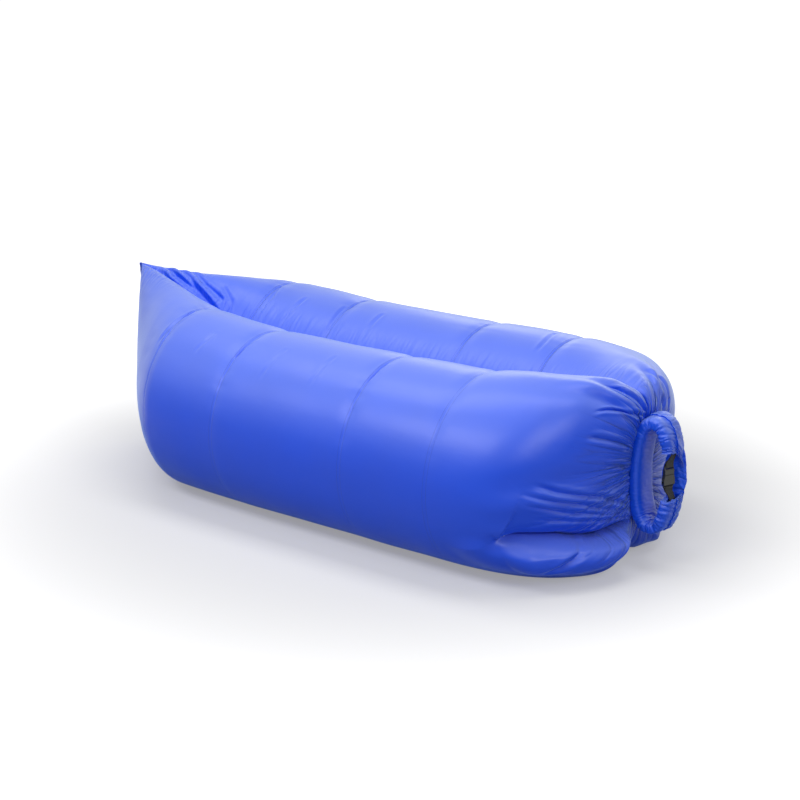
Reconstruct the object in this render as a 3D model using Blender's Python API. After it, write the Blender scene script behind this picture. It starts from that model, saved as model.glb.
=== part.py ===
# Inflatable air lounger: two air tubes side by side, closed by an upright seam at the head
# and by a rolled mouth at the foot, whose roll is bent into a loop and clipped with a buckle.
# Metres, +Z up. +X runs from head to foot, and the front tube lies on the -Y side.
# The origin is on the ground, under the middle of the lounger.
import math

import bmesh
import bpy
import numpy as np

# Cover: lengths along the tubes, from the end seam at the head
head_panel_length = 0.390
shoulder_panel_length = 0.290
seat_panel_length = 0.475
leg_panel_length = 0.290
foot_panel_length = 0.349
head_taper_length = 0.700
foot_round_length = 0.398

# Cover: cross-section
tube_offset = 0.225
tube_half_width = 0.258
crest_height = 0.524
foot_swell = 0.009
foot_widening = 0.005
swell_start = 0.300
flat_angle = math.radians(12)
cover_thickness = 0.0008
divider_thickness = 0.0008

# Cover: the upright seam at the head end
seam_offset = 0.0015
seam_half_width = 0.004
tip_rise = 0.060
seam_lift = 0.020
seam_lean = 0.024
tip_lean = 0.020
seam_tuck = 0.055
lean_reach = 0.250
binding_depth = 0.008
binding_width = 0.009
binding_seat = 0.0014

# Cover: drawn-in cross seams, and the gathers round the neck
seam_pinch = 0.005
seam_spread = 0.022
fold_depth = 0.009
fold_reach = 0.270
neck_offset = 0.010
neck_half_width = 0.036
neck_top = 0.412
neck_foot = 0.138
neck_wrap_reach = 0.090
neck_wrap_share = 0.80
heel_bulge = 0.046
heel_height = 0.200

# Air liners
liner_inset = 0.014
liner_head_gap = 0.120
liner_foot_gap = 0.110
liner_film = 0.0002

# Rolled mouth, bent into a loop
loop_half_width = 0.074
loop_half_height = 0.172
loop_centre_height = 0.275
roll_thickness = 0.044
roll_width = 0.098
roll_layer = 0.0072
roll_pitch = 0.0083
loop_bend_radius = 0.020
roll_pucker = 0.0010
upper_end_height = 0.344
lower_end_height = 0.214
upper_flap_length = 0.040
lower_flap_length = 0.030
tongue_length = 0.085
tongue_stand_out = 0.004
flap_layers = 0.014

# Mouth battens
batten_width = 0.034
batten_thickness = 0.0010
batten_setback = 0.045

# Webbing
strap_width = 0.025
strap_thickness = 0.0012
strap_tuck = 0.030
strap_wrap_room = 0.0013
strap_sink = 0.0023

# Buckle: the socket's foot stands at buckle_height, and the buckle's own frame is
# thickness along its X, width along its Y and length along its Z
buckle_setback = 0.038
buckle_height = 0.243
buckle_turn = math.radians(-22)
socket_length = 0.038
socket_mouth_width = 0.031
socket_belly_width = 0.037
socket_foot_width = 0.032
socket_thickness = 0.0120
socket_wall = 0.0022
socket_floor = 0.0110
window_foot = 0.0145
window_length = 0.0150
window_thickness = 0.0066
bar_height = 0.0035
bar_thickness = 0.0050
slot_height = 0.0050
slot_side = 0.0025
plug_length = 0.0245
plug_shoulder_width = 0.0310
plug_top_width = 0.0320
plug_thickness = 0.0110
guide_width = 0.0060
guide_thickness = 0.0050
guide_length = 0.0240
arm_thickness = 0.0050
arm_width = 0.0032
arm_spread = 0.0092
arm_root_height = 0.0030
arm_clearance = 0.0005
grip_length = 0.0095
grip_stand_out = 0.0010
edge_round = 0.0010
cut_overrun = 0.010

# Clearance between pieces that touch
gap = 0.0003

# Shares of the full tube along the head taper: distance, offset, half width, rise and lift
head_shares = (
    (0.000, 0.000, 0.000, 1.00, 1.00),
    (0.029, 0.044, 0.155, 0.95, 0.75),
    (0.086, 0.133, 0.295, 0.87, 0.40),
    (0.214, 0.369, 0.515, 0.67, 0.00),
    (0.400, 0.711, 0.772, 0.46, 0.00),
    (0.600, 0.947, 0.972, 0.26, 0.00),
    (1.000, 1.000, 1.000, 0.00, 0.00),
)

# Where each panel's cross-sections stand, as shares of its length
head_panel_shares = (0.0, 0.06, 0.16, 0.32, 0.54, 0.78, 0.95, 1.0)
shoulder_panel_shares = (0.0, 0.07, 0.5, 0.93, 1.0)
seat_panel_shares = (0.0, 0.045, 0.5, 0.955, 1.0)
leg_panel_shares = (0.0, 0.07, 0.5, 0.93, 1.0)
foot_panel_shares = (0.0, 0.06, 0.32, 0.58, 0.78, 0.90, 0.965, 0.99, 1.0)

# Where a cross-section's points stand round the tube: 1 at the trough, -1 at the underside
upper_arc_share = -0.52
flat_arc_share = -0.68
upper_arc_steps = 15
lower_arc_steps = 4
divider_steps = 8
strap_steps = 4
fold_count = 6
fold_sway_share = 0.06

spiral_turns = 1.75
spiral_steps = 18
spiral_squareness = 0.68
bend_steps = 7
back_steps = 6
front_steps = 5
pucker_count = 10

# Places worked out from the sizes above
shoulder_seam = head_panel_length + shoulder_panel_length
seat_seam = shoulder_seam + seat_panel_length
leg_seam = seat_seam + leg_panel_length
body_length = leg_seam + foot_panel_length
seam_places = (head_panel_length, shoulder_seam, seat_seam, leg_seam)
edge_offset = divider_thickness / 2 + gap
loop_centre = body_length + gap + loop_half_width
loop_centreline = loop_half_width - roll_thickness / 2
buckle_place = loop_centre + loop_half_width - buckle_setback
foremost = -seam_lean - tip_lean - binding_seat - binding_depth


def clear_scene():
    for item in list(bpy.data.objects):
        bpy.data.objects.remove(item, do_unlink=True)


# Materials

def add_finish(part, kind, colour, roughness, metallic=0.0):
    material = bpy.data.materials.new(part.name + "_" + kind)
    material.use_nodes = True
    shader = material.node_tree.nodes["Principled BSDF"]
    shader.inputs["Base Color"].default_value = (*colour, 1.0)
    shader.inputs["Roughness"].default_value = roughness
    shader.inputs["Metallic"].default_value = metallic
    part.data.materials.append(material)


def nylon_finish(part):
    add_finish(part, "nylon", (0.050, 0.085, 0.640), 0.42)


def binding_finish(part):
    add_finish(part, "binding", (0.045, 0.075, 0.560), 0.50)


def divider_finish(part):
    add_finish(part, "lining", (0.040, 0.070, 0.500), 0.60)


def film_finish(part):
    add_finish(part, "film", (0.750, 0.770, 0.780), 0.25)


def batten_finish(part):
    add_finish(part, "batten", (0.020, 0.020, 0.022), 0.45)


def webbing_finish(part):
    add_finish(part, "webbing", (0.045, 0.045, 0.038), 0.80)


def buckle_finish(part):
    add_finish(part, "plastic", (0.020, 0.021, 0.016), 0.38)


# Mesh helpers

def object_from(name, points, faces):
    mesh = bpy.data.meshes.new(name)
    mesh.from_pydata([tuple(point) for point in points], [], faces)
    shape = bmesh.new()
    shape.from_mesh(mesh)
    bmesh.ops.recalc_face_normals(shape, faces=shape.faces)
    shape.to_mesh(mesh)
    shape.free()
    part = bpy.data.objects.new(name, mesh)
    bpy.context.scene.collection.objects.link(part)
    return part


def smooth_faces(part, angle=math.radians(40)):
    part.data.shade_smooth()
    part.data.set_sharp_from_angle(angle=angle)


def two_triangles(a, b, c, d):
    return [(a, b, c), (a, c, d)]


# A sheet with a wall: two like grids of points, joined round all four edges
def sheet_object(name, outer, inner):
    rows, columns = outer.shape[:2]
    points = np.concatenate([outer.reshape(-1, 3), inner.reshape(-1, 3)])
    shift = rows * columns
    faces = []
    for row in range(rows - 1):
        for column in range(columns - 1):
            a = row * columns + column
            corners = (a, a + 1, a + columns + 1, a + columns)
            outside = two_triangles(*corners)
            faces += outside
            faces += [tuple(shift + k for k in reversed(face)) for face in outside]
    first, last = 0, (rows - 1) * columns
    for column in range(columns - 1):
        for start in (first, last):
            a = start + column
            faces += two_triangles(a, a + 1, shift + a + 1, shift + a)
    for row in range(rows - 1):
        for start in (0, columns - 1):
            a = row * columns + start
            faces += two_triangles(a, a + columns, shift + a + columns, shift + a)
    return object_from(name, points, faces)


# A bar swept through closed rings of points, with a flat cap at each end
def swept_object(name, rings):
    count = len(rings[0])
    points = np.concatenate(rings)
    faces = []
    for ring in range(len(rings) - 1):
        for k in range(count):
            after = (k + 1) % count
            a = ring * count
            faces += two_triangles(a + k, a + after, a + count + after, a + count + k)
    faces.append(tuple(range(count)))
    faces.append(tuple(range(len(points) - count, len(points))))
    return object_from(name, points, faces)


# A smooth curve through rows of shares, without overshoot
def read_shares(rows, distance, column):
    places = np.array([row[0] for row in rows])
    values = np.array([row[column] for row in rows])
    distance = min(max(distance, places[0]), places[-1])
    steps = np.diff(values) / np.diff(places)
    slopes = np.zeros(len(values))
    for k in range(1, len(values) - 1):
        before, after = steps[k - 1], steps[k]
        if before * after > 0:
            slopes[k] = 2 * before * after / (before + after)
    slopes[0], slopes[-1] = steps[0], steps[-1]
    k = min(int(np.searchsorted(places, distance, side="right")) - 1, len(places) - 2)
    length = places[k + 1] - places[k]
    t = (distance - places[k]) / length
    start = values[k] * (1 + 2 * t) * (1 - t) ** 2 + slopes[k] * length * t * (1 - t) ** 2
    end = values[k + 1] * t * t * (3 - 2 * t) + slopes[k + 1] * length * t * t * (t - 1)
    return float(start + end)


def ease(value):
    value = np.clip(value, 0.0, 1.0)
    return value * value * (3 - 2 * value)


# The loop that the rolled mouth is bent into: an ellipse, offset outwards

def loop_point(turn, outwards):
    inner_width = loop_centreline - loop_bend_radius
    inner_height = loop_half_height - roll_thickness / 2 - loop_bend_radius
    along_x, along_z = math.cos(turn), math.sin(turn)
    normal = np.array([inner_height * along_x, inner_width * along_z])
    normal /= np.linalg.norm(normal)
    reach = loop_bend_radius + outwards
    x = loop_centre + inner_width * along_x + reach * normal[0]
    z = loop_centre_height + inner_height * along_z + reach * normal[1]
    return x, z


# The turn at which the loop's bag side or buckle side passes a height
def loop_turn_at(height, buckle_side, outwards=0.0):
    low, high = -math.pi / 2, math.pi / 2
    for _ in range(50):
        turn = (low + high) / 2
        if loop_point(turn, outwards)[1] < height:
            low = turn
        else:
            high = turn
    return turn if buckle_side else math.pi - turn


# Tube cover

# Sizes of one tube's cross-section: centre offset, half width, half height, centre
# height and foot height
def section_sizes(distance):
    share = distance / head_taper_length
    offset = seam_offset + (tube_offset - seam_offset) * read_shares(head_shares, share, 1)
    half_width = seam_half_width
    half_width += (tube_half_width - seam_half_width) * read_shares(head_shares, share, 2)
    top = crest_height + tip_rise * read_shares(head_shares, share, 3)
    foot = seam_lift * read_shares(head_shares, share, 4)
    swell_length = body_length - foot_round_length / 2 - head_taper_length - swell_start
    swell = ease((distance - head_taper_length - swell_start / 2) / swell_length)
    top += foot_swell * swell
    half_width += foot_widening * swell
    along = np.clip(1 - (body_length - distance) / foot_round_length, 0.0, 1.0)
    full_reach = (1 - along ** 3.4) ** (1 / 2.2)
    full_offset = (1 - along ** 2.2) ** (1 / 1.8)
    full_top = (1 - along ** 16.0) ** (1 / 3.0)
    full_foot = (1 - along ** 13.0) ** (1 / 1.7)
    neck_reach = neck_offset + neck_half_width
    reach = neck_reach + (offset + half_width - neck_reach) * full_reach
    offset = neck_offset + (offset - neck_offset) * full_offset
    half_width = reach - offset
    top = neck_top + (top - neck_top) * full_top
    foot += (neck_foot - foot) * (1 - full_foot)
    half_height = (top - foot) / (1 + math.cos(flat_angle))
    centre_height = foot + half_height * math.cos(flat_angle)
    return offset, half_width, half_height, centre_height, foot


def arc_shares(fineness=1):
    upper = np.linspace(1.0, upper_arc_share, upper_arc_steps * fineness + 1)
    flat = np.linspace(upper_arc_share, flat_arc_share, fineness + 1)
    lower = np.linspace(flat_arc_share, -1.0, lower_arc_steps * fineness + 1)
    return np.concatenate([upper, flat[1:], lower[1:]])


# How far the cover is drawn in at a point, by the cross seams and by the gathers
def drawn_in(distance, share, height_share):
    clear_of_edge = ease((1 - abs(share)) / 0.16)
    clear_of_ground = ease((height_share + 0.93) / 0.25)
    pinch = sum(math.exp(-((distance - seam) / seam_spread) ** 2) for seam in seam_places)
    gather = ease(1 - (body_length - distance) / fold_reach)
    folds = fold_depth * gather * fold_wave(share)
    return (seam_pinch * pinch + folds) * clear_of_edge * clear_of_ground


# The gathers, as waves round the tube that aren't quite even
def fold_wave(share):
    sway = fold_sway_share * math.sin(math.tau * share * 1.5)
    return 0.5 - 0.5 * math.cos(math.tau * fold_count * (0.5 * (share + 1) + sway))


# Where the foot faces the loop, the gathers sink towards the head
def sunk_back(distance, share):
    near_neck = np.clip(1 - (body_length - distance) / fold_reach, 0.0, 1.0)
    clear_of_edge = ease((1 - abs(share)) / 0.16)
    return fold_depth * fold_wave(share) * clear_of_edge * near_neck ** 3 * (1 - near_neck ** 12)


# Low on the foot end, the cover bulges out beside the loop
def heel(distance, share, height):
    near_neck = np.clip(1 - (body_length - distance) / foot_round_length, 0.0, 1.0)
    clear_of_edge = ease((1 - abs(share)) / 0.35)
    low = ease(1 - height / heel_height)
    return heel_bulge * near_neck ** 3 * (1 - near_neck ** 30) * low * clear_of_edge


# The head end leans towards the tip, and its foot is tucked in
def head_lean(distance, height_share):
    fade = max(0.0, 1 - distance / lean_reach) ** 1.5
    upper = np.clip(height_share, 0.0, 1.0) ** 1.2
    lower = np.clip(-height_share, 0.0, 1.0) ** 2
    return fade * (seam_tuck * lower - tip_lean * upper - seam_lean)


# The gathered neck follows the back of the roll
def neck_wrap(distance, height):
    near_neck = ease(1 - (body_length - distance) / neck_wrap_reach)
    low = loop_centre_height - loop_half_height * neck_wrap_share
    high = loop_centre_height + loop_half_height * neck_wrap_share
    turn = loop_turn_at(min(max(height, low), high), False, roll_thickness / 2)
    behind = loop_point(turn, roll_thickness / 2)[0] - (loop_centre - loop_half_width)
    return near_neck * behind


def section_point(distance, share, sizes, inset=0.0):
    offset, half_width, half_height, centre_height, foot = sizes
    half_width -= inset
    half_height -= inset
    opening = math.acos(np.clip((edge_offset - offset) / half_width, -1.0, 1.0))
    angle = opening * share
    normal = np.array([math.cos(angle) / half_width, math.sin(angle) / half_height])
    normal /= np.linalg.norm(normal)
    depth = 0.0 if inset else drawn_in(distance, share, math.sin(angle))
    y = offset + half_width * math.cos(angle) - depth * normal[0]
    z = centre_height + half_height * math.sin(angle) - depth * normal[1]
    y = max(y, edge_offset)
    z = max(z, foot)
    x = distance + head_lean(distance, math.sin(angle)) + neck_wrap(distance, z)
    x += heel(distance, share, z) - sunk_back(distance, share)
    return x - middle, y, z


def cover_grid(distances, shares):
    rows = []
    for distance in distances:
        sizes = section_sizes(distance)
        rows.append([section_point(distance, share, sizes) for share in shares])
    return np.array(rows)


# The same grid, moved inwards along its own normals
def inner_grid(outer, wall):
    along = np.gradient(outer, axis=0)
    across = np.gradient(outer, axis=1)
    normals = np.cross(along, across)
    normals /= np.linalg.norm(normals, axis=2, keepdims=True)
    centre = outer.mean(axis=1, keepdims=True)
    outward = np.sum(normals * (outer - centre), axis=2).mean()
    inner = outer - normals * wall * math.copysign(1.0, outward)
    inner[:, :, 1] = np.maximum(inner[:, :, 1], edge_offset)
    inner[0, :, 0] = np.maximum(inner[0, :, 0], outer[0, :, 0])
    inner[-1, :, 0] = np.minimum(inner[-1, :, 0], outer[-1, :, 0])
    on_ground = outer[:, :, 2] < gap
    inner[:, :, 2] = np.where(on_ground, outer[:, :, 2] + wall, inner[:, :, 2])
    return inner


def to_side(points, side):
    return points * np.array([1.0, side, 1.0])


def cover_panel(name, side, start, length, shares, fineness=1):
    distances = [start + gap / 2 + (length - gap) * share for share in shares]
    outer = cover_grid(distances, arc_shares(fineness))
    if fineness > 1:
        outer[0, 1::2] = (outer[0, 0:-1:2] + outer[0, 2::2]) / 2
    inner = inner_grid(outer, cover_thickness)
    part = sheet_object(name, to_side(outer, side), to_side(inner, side))
    nylon_finish(part)
    smooth_faces(part)
    return part


def tube_panels(label, side):
    cover_panel(label + "_head_panel", side, 0.0, head_panel_length, head_panel_shares)
    cover_panel(label + "_shoulder_panel", side, head_panel_length, shoulder_panel_length,
                shoulder_panel_shares)
    cover_panel(label + "_seat_panel", side, shoulder_seam, seat_panel_length,
                seat_panel_shares)
    cover_panel(label + "_leg_panel", side, seat_seam, leg_panel_length, leg_panel_shares)
    cover_panel(label + "_foot_panel", side, leg_seam, foot_panel_length,
                foot_panel_shares, fineness=2)


def centre_divider():
    distances = []
    starts = (0.0,) + seam_places
    lengths = (head_panel_length, shoulder_panel_length, seat_panel_length,
               leg_panel_length, foot_panel_length)
    tables = (head_panel_shares, shoulder_panel_shares, seat_panel_shares,
              leg_panel_shares, foot_panel_shares)
    for start, length, shares in zip(starts, lengths, tables):
        distances += [start + length * share for share in shares[:-1]]
    distances.append(body_length - 2 * gap)
    distances[0] = 2 * gap
    rows = []
    for distance in distances:
        sizes = section_sizes(distance)
        top = section_point(distance, 1.0, sizes)[2]
        foot = section_point(distance, -1.0, sizes)[2]
        row = []
        for height in np.linspace(top, foot, divider_steps + 1):
            height_share = (height - sizes[3]) / sizes[2]
            x = distance + head_lean(distance, height_share) + neck_wrap(distance, height)
            row.append((x - middle, divider_thickness / 2, height))
        rows.append(row)
    middle_sheet = np.array(rows)
    part = sheet_object("centre_divider", middle_sheet, to_side(middle_sheet, -1))
    divider_finish(part)
    return part


# The tape that closes the head end, round the edges of both head panels
def head_end_binding():
    sizes = section_sizes(gap / 2)
    profile = ((0.0, 0.5), (0.55, 0.5), (0.9, 0.3), (1.0, 0.0), (0.9, -0.3),
               (0.55, -0.5), (0.0, -0.5))
    opening = math.acos((edge_offset - sizes[0]) / sizes[1])
    angles = [opening * share for share in arc_shares()]
    heights = [math.sin(angle) for angle in angles if abs(angle) < math.radians(88)]
    rings = []
    for height_share in [1.0] + heights + [-1.0]:
        x = head_lean(0.0, height_share) - binding_seat - middle
        z = max(sizes[3] + sizes[2] * height_share, sizes[4])
        rings.append([(x - binding_depth * back, binding_width * across, z)
                      for back, across in profile])
    part = swept_object("head_end_binding", np.array(rings))
    binding_finish(part)
    return part


# Air liners: thin bags against the divider, open at the neck

def liner_section(distance):
    sizes = section_sizes(distance)
    arc = [section_point(distance, share, sizes, liner_inset)
           for share in np.linspace(1.0, -1.0, 15)]
    arc = np.array(arc)
    foot = sizes[4] + cover_thickness + gap
    arc[:, 2] = np.maximum(arc[:, 2], foot)
    top, low = arc[0], arc[-1]
    flat = [low + (top - low) * share for share in (0.33, 0.67)]
    return np.concatenate([arc, flat])


def shrink_section(section, wall):
    before = np.roll(section, 1, axis=0)
    after = np.roll(section, -1, axis=0)
    along = after - before
    normals = np.stack([np.zeros(len(along)), along[:, 2], -along[:, 1]], axis=1)
    normals /= np.linalg.norm(normals, axis=1, keepdims=True)
    return section + normals * wall


def air_liner(name, side):
    start, end = liner_head_gap, body_length - liner_foot_gap
    outer = [liner_section(distance) for distance in np.linspace(start, end, 11)]
    inner = [shrink_section(section, liner_film) for section in outer]
    count = len(outer[0])
    inward = np.array([liner_film, 0.0, 0.0])
    inner[0] = inner[0] + inward
    points = list(np.concatenate(outer)) + list(np.concatenate(inner))
    shift = count * len(outer)
    faces = []
    for ring in range(len(outer) - 1):
        for k in range(count):
            a, b = ring * count + k, ring * count + (k + 1) % count
            outside = two_triangles(a, b, b + count, a + count)
            faces += outside
            faces += [tuple(shift + p for p in reversed(face)) for face in outside]
    last = count * (len(outer) - 1)
    for k in range(count):
        a, b = last + k, last + (k + 1) % count
        faces += two_triangles(a, b, shift + b, shift + a)
    hub = np.mean(outer[0], axis=0)
    points += [hub, hub + inward]
    for k in range(count):
        after = (k + 1) % count
        faces.append((len(points) - 2, after, k))
        faces.append((len(points) - 1, shift + k, shift + after))
    part = object_from(name, to_side(np.array(points), side), faces)
    film_finish(part)
    smooth_faces(part)
    return part


# Rolled mouth

# Turns of the loop's cross-sections, from the upper end over the top, down the bag side
# and under to the lower end
def roll_turns():
    start = loop_turn_at(upper_end_height, True)
    end = loop_turn_at(lower_end_height, True) + math.tau
    bend = math.radians(62)
    top_start, top_end = math.pi / 2 - bend / 3, math.pi / 2 + bend / 3
    low_start, low_end = math.tau * 0.75 - bend / 3, math.tau * 0.75 + bend / 3
    parts = [
        np.linspace(start, top_start, front_steps + 1),
        np.linspace(top_start, top_end, bend_steps + 1)[1:],
        np.linspace(top_end, low_start, back_steps + 1)[1:],
        np.linspace(low_start, low_end, bend_steps + 1)[1:],
        np.linspace(low_end, end, front_steps + 1)[1:],
    ]
    return np.concatenate(parts)


# Half sizes of the spiral at an angle wound inwards from the free edge, less a depth
def spiral_point(angle, depth):
    wound = roll_pitch * angle / math.tau
    width = roll_width / 2 - wound - depth
    height = roll_thickness / 2 - wound - depth
    across = math.sin(angle)
    outwards = math.cos(angle)
    y = width * math.copysign(abs(across) ** spiral_squareness, across)
    out = height * math.copysign(abs(outwards) ** spiral_squareness, outwards)
    return y, out


# The outer layers of each end reach further than the core, as a flap
def end_flap(station, last, outwards):
    upper = ease(1 - station / front_steps)
    lower = ease(1 - (last - station) / front_steps)
    core = roll_thickness / 2 - flap_layers
    layer_share = np.clip((outwards - core) / flap_layers, 0.0, 1.0)
    return layer_share * (lower * lower_flap_length - upper * upper_flap_length)


# At the lower end, the layer under the flap stands up behind the buckle as a tongue
def tongue_share(station, last, angle):
    if station < last or not 0.75 < angle / math.tau < 1.25:
        return 0.0
    return math.cos(angle) ** 0.5


def pucker_at(turn):
    return 1 - roll_pucker / roll_thickness * (1 - math.cos(pucker_count * turn))


def roll_grid(angles, depth):
    turns = roll_turns()
    rows = []
    for station, turn in enumerate(turns):
        row = []
        for angle in angles:
            y, out = spiral_point(angle, depth)
            x, z = loop_point(turn, out * pucker_at(turn))
            tongue = tongue_share(station, len(turns) - 1, angle)
            x += tongue * tongue_stand_out
            z += tongue * tongue_length
            z += (1 - tongue) * end_flap(station, len(turns) - 1, out)
            row.append((x - middle, y, z))
        rows.append(row)
    return np.array(rows)


def rolled_mouth():
    angles = np.linspace(0.0, math.tau * spiral_turns, spiral_steps + 1)
    outer = roll_grid(angles, 0.0)
    inner = roll_grid(angles, roll_layer)
    part = sheet_object("rolled_mouth", outer, inner)
    nylon_finish(part)
    smooth_faces(part)
    return part


# Height of the hollow core's outer wall at a distance from the centre plane
def core_roof(y):
    angles = np.linspace(0.0, math.tau * spiral_turns, spiral_steps + 1)
    wall = [spiral_point(angle, roll_layer) for angle in angles]
    inner_turn = [point for point, angle in zip(wall, angles)
                  if math.tau <= angle <= math.tau * 1.26]
    return float(np.interp(y, [p[0] for p in inner_turn], [p[1] for p in inner_turn]))


# Outward place of a batten's middle, counted inwards from the core's outer wall
def batten_level(order):
    roof = core_roof(batten_width / 2)
    return roof - gap - batten_thickness / 2 - order * (batten_thickness + gap)


def mouth_batten(name, order):
    level = batten_level(order)
    turns = roll_turns()
    start = loop_turn_at(upper_end_height + batten_setback, True)
    end = loop_turn_at(lower_end_height - batten_setback, True) + math.tau
    kept = [turn for turn in turns if start < turn < end]
    sides = []
    for lift in (batten_thickness / 2, -batten_thickness / 2):
        rows = []
        for turn in [start] + kept + [end]:
            x, z = loop_point(turn, (level + lift) * pucker_at(turn))
            rows.append([(x - middle, y, z) for y in (-batten_width / 2, batten_width / 2)])
        sides.append(np.array(rows))
    part = sheet_object(name, *sides)
    batten_finish(part)
    return part


# Webbing: each strap leaves the core of the roll, goes round a bar of the buckle and back

def strap_level():
    return core_roof(strap_width / 2) - strap_thickness - strap_sink


def strap_object(name, bar_centre, roll_end, upwards):
    wrap_depth = bar_thickness / 2 + strap_wrap_room + strap_thickness / 2
    wrap_length = bar_height / 2 + strap_wrap_room + strap_thickness / 2
    pair = (strap_thickness + gap) / 2
    path = [(height, pair, 0.0) for height in
            np.linspace(roll_end + upwards * strap_tuck, roll_end, strap_steps)]
    path.append((bar_centre + (roll_end - bar_centre) * 0.55, pair * 1.6, 0.45))
    path.append((bar_centre + upwards * wrap_length, wrap_depth * 0.9, 1.0))
    for angle in np.linspace(0.0, math.pi / 2, 5):
        across = math.cos(angle) ** 0.7
        beyond = math.sin(angle) ** 0.7
        path.append((bar_centre - upwards * wrap_length * beyond, wrap_depth * across, 1.0))
    there = [(height, -side, share) for height, side, share in path]
    back = [(height, side, share) for height, side, share in reversed(path[:-1])]
    level = strap_level()
    centres, widths = [], []
    for height, side, share in there + back:
        turn = buckle_turn * share
        facing = np.array([math.cos(turn), math.sin(turn), 0.0])
        within = max(height * upwards, roll_end * upwards) * upwards
        core_x = loop_point(loop_turn_at(within, True, level), level)[0]
        x = core_x + (buckle_place - core_x) * share
        centres.append(np.array([x - middle, 0.0, height]) + facing * side)
        widths.append(np.array([-math.sin(turn), math.cos(turn), 0.0]))
    centres = np.array(centres)
    along = np.gradient(centres, axis=0)
    sides = []
    for lift in (strap_thickness / 2, -strap_thickness / 2):
        rows = []
        for centre, direction, across in zip(centres, along, widths):
            normal = np.cross(direction, across)
            normal /= np.linalg.norm(normal)
            rows.append([centre + normal * lift + across * strap_width * edge
                         for edge in (-0.5, 0.5)])
        sides.append(np.array(rows))
    part = sheet_object(name, *sides)
    webbing_finish(part)
    smooth_faces(part)
    return part


# Buckle, in its own frame: thickness along X, width along Y, length along Z

def buckle_frame():
    frame = bpy.data.objects.new("buckle_frame", None)
    frame.location = (buckle_place - middle, 0.0, buckle_height)
    frame.rotation_euler = (0.0, 0.0, buckle_turn)
    bpy.context.scene.collection.objects.link(frame)
    return frame


# A plate with the given outline of width and length, as thick as stated
def plate_mesh(name, outline, thickness):
    shape = bmesh.new()
    ring = [shape.verts.new((-thickness / 2, y, z)) for y, z in outline]
    face = shape.faces.new(ring)
    grown = bmesh.ops.extrude_face_region(shape, geom=[face])
    moved = [item for item in grown["geom"] if isinstance(item, bmesh.types.BMVert)]
    bmesh.ops.translate(shape, verts=moved, vec=(thickness, 0.0, 0.0))
    bmesh.ops.recalc_face_normals(shape, faces=shape.faces)
    mesh = bpy.data.meshes.new(name)
    shape.to_mesh(mesh)
    shape.free()
    return mesh


# Thins a plate between two heights, from the full thickness to a share of it
def thin_plate(mesh, full_height, thin_height, share):
    shape = bmesh.new()
    shape.from_mesh(mesh)
    for height in (full_height, thin_height):
        everything = list(shape.verts) + list(shape.edges) + list(shape.faces)
        bmesh.ops.bisect_plane(shape, geom=everything, plane_co=(0.0, 0.0, height),
                               plane_no=(0.0, 0.0, 1.0))
    for vertex in shape.verts:
        reach = (vertex.co.z - full_height) / (thin_height - full_height)
        vertex.co.x *= 1 - (1 - share) * min(max(reach, 0.0), 1.0)
    shape.to_mesh(mesh)
    shape.free()


def buckle_part(name, mesh, frame, origin=(0.0, 0.0, 0.0)):
    part = bpy.data.objects.new(name, mesh)
    bpy.context.scene.collection.objects.link(part)
    part.parent = frame
    part.location = origin
    return part


# Cuts a guide shape out of a part, or joins it on
def combine(part, guide, operation="DIFFERENCE"):
    guide.hide_render = True
    guide.display_type = "WIRE"
    step = part.modifiers.new(guide.name, "BOOLEAN")
    step.operation = operation
    step.object = guide


def box_outline(half_width, low, high):
    return [(-half_width, low), (half_width, low), (half_width, high), (-half_width, high)]


def round_edges(part, width, segments=2):
    bevel = part.modifiers.new("rounded_edges", "BEVEL")
    bevel.width = width
    bevel.segments = segments
    bevel.limit_method = "ANGLE"
    bevel.angle_limit = math.radians(50)


def both_sides(half):
    return half + [(-y, z) for y, z in reversed(half)]


def socket_outline():
    half = []
    foot, belly, mouth = socket_foot_width / 2, socket_belly_width / 2, socket_mouth_width / 2
    corner = socket_floor / 4
    for angle in np.linspace(-math.pi / 2, 0.0, 4):
        half.append((foot - corner + corner * math.cos(angle),
                     corner + corner * math.sin(angle)))
    belly_foot = window_foot - bar_height
    belly_top = window_foot + window_length * 0.62
    half.append((belly, belly_foot))
    half.append((belly, belly_top))
    for share in (0.3, 0.6, 0.85, 1.0):
        width = belly + (mouth - belly) * math.sin(share * math.pi / 2) ** 2
        half.append((width, belly_top + (socket_length - belly_top) * share))
    return both_sides(half)


def buckle_socket(frame):
    mesh = plate_mesh("buckle_socket", socket_outline(), socket_thickness)
    thin_plate(mesh, socket_floor - edge_round, bar_height + slot_height / 2,
               bar_thickness / socket_thickness)
    part = buckle_part("buckle_socket", mesh, frame)
    round_edges(part, edge_round)
    inner_width = socket_mouth_width / 2 - socket_wall
    hollow = plate_mesh("socket_hollow", box_outline(
        inner_width, socket_floor, socket_length + cut_overrun),
        socket_thickness - 2 * socket_wall)
    windows = plate_mesh("socket_windows", box_outline(
        socket_belly_width / 2 + cut_overrun, window_foot, window_foot + window_length),
        window_thickness)
    slot = plate_mesh("socket_slot", box_outline(
        socket_foot_width / 2 - slot_side, bar_height, bar_height + slot_height),
        socket_thickness + cut_overrun)
    for mesh in (hollow, windows, slot):
        combine(part, buckle_part(mesh.name, mesh, frame))
    buckle_finish(part)
    return part


def plug_outline():
    foot = socket_length + gap
    top = foot + plug_length
    corner = plug_length / 8
    half = [(plug_shoulder_width / 2, foot)]
    half.append((plug_shoulder_width / 2, foot + plug_length * 0.3))
    for angle in np.linspace(0.0, math.pi / 2, 4):
        half.append((plug_top_width / 2 - corner + corner * math.cos(angle),
                     top - corner + corner * math.sin(angle)))
    return both_sides(half)


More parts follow.
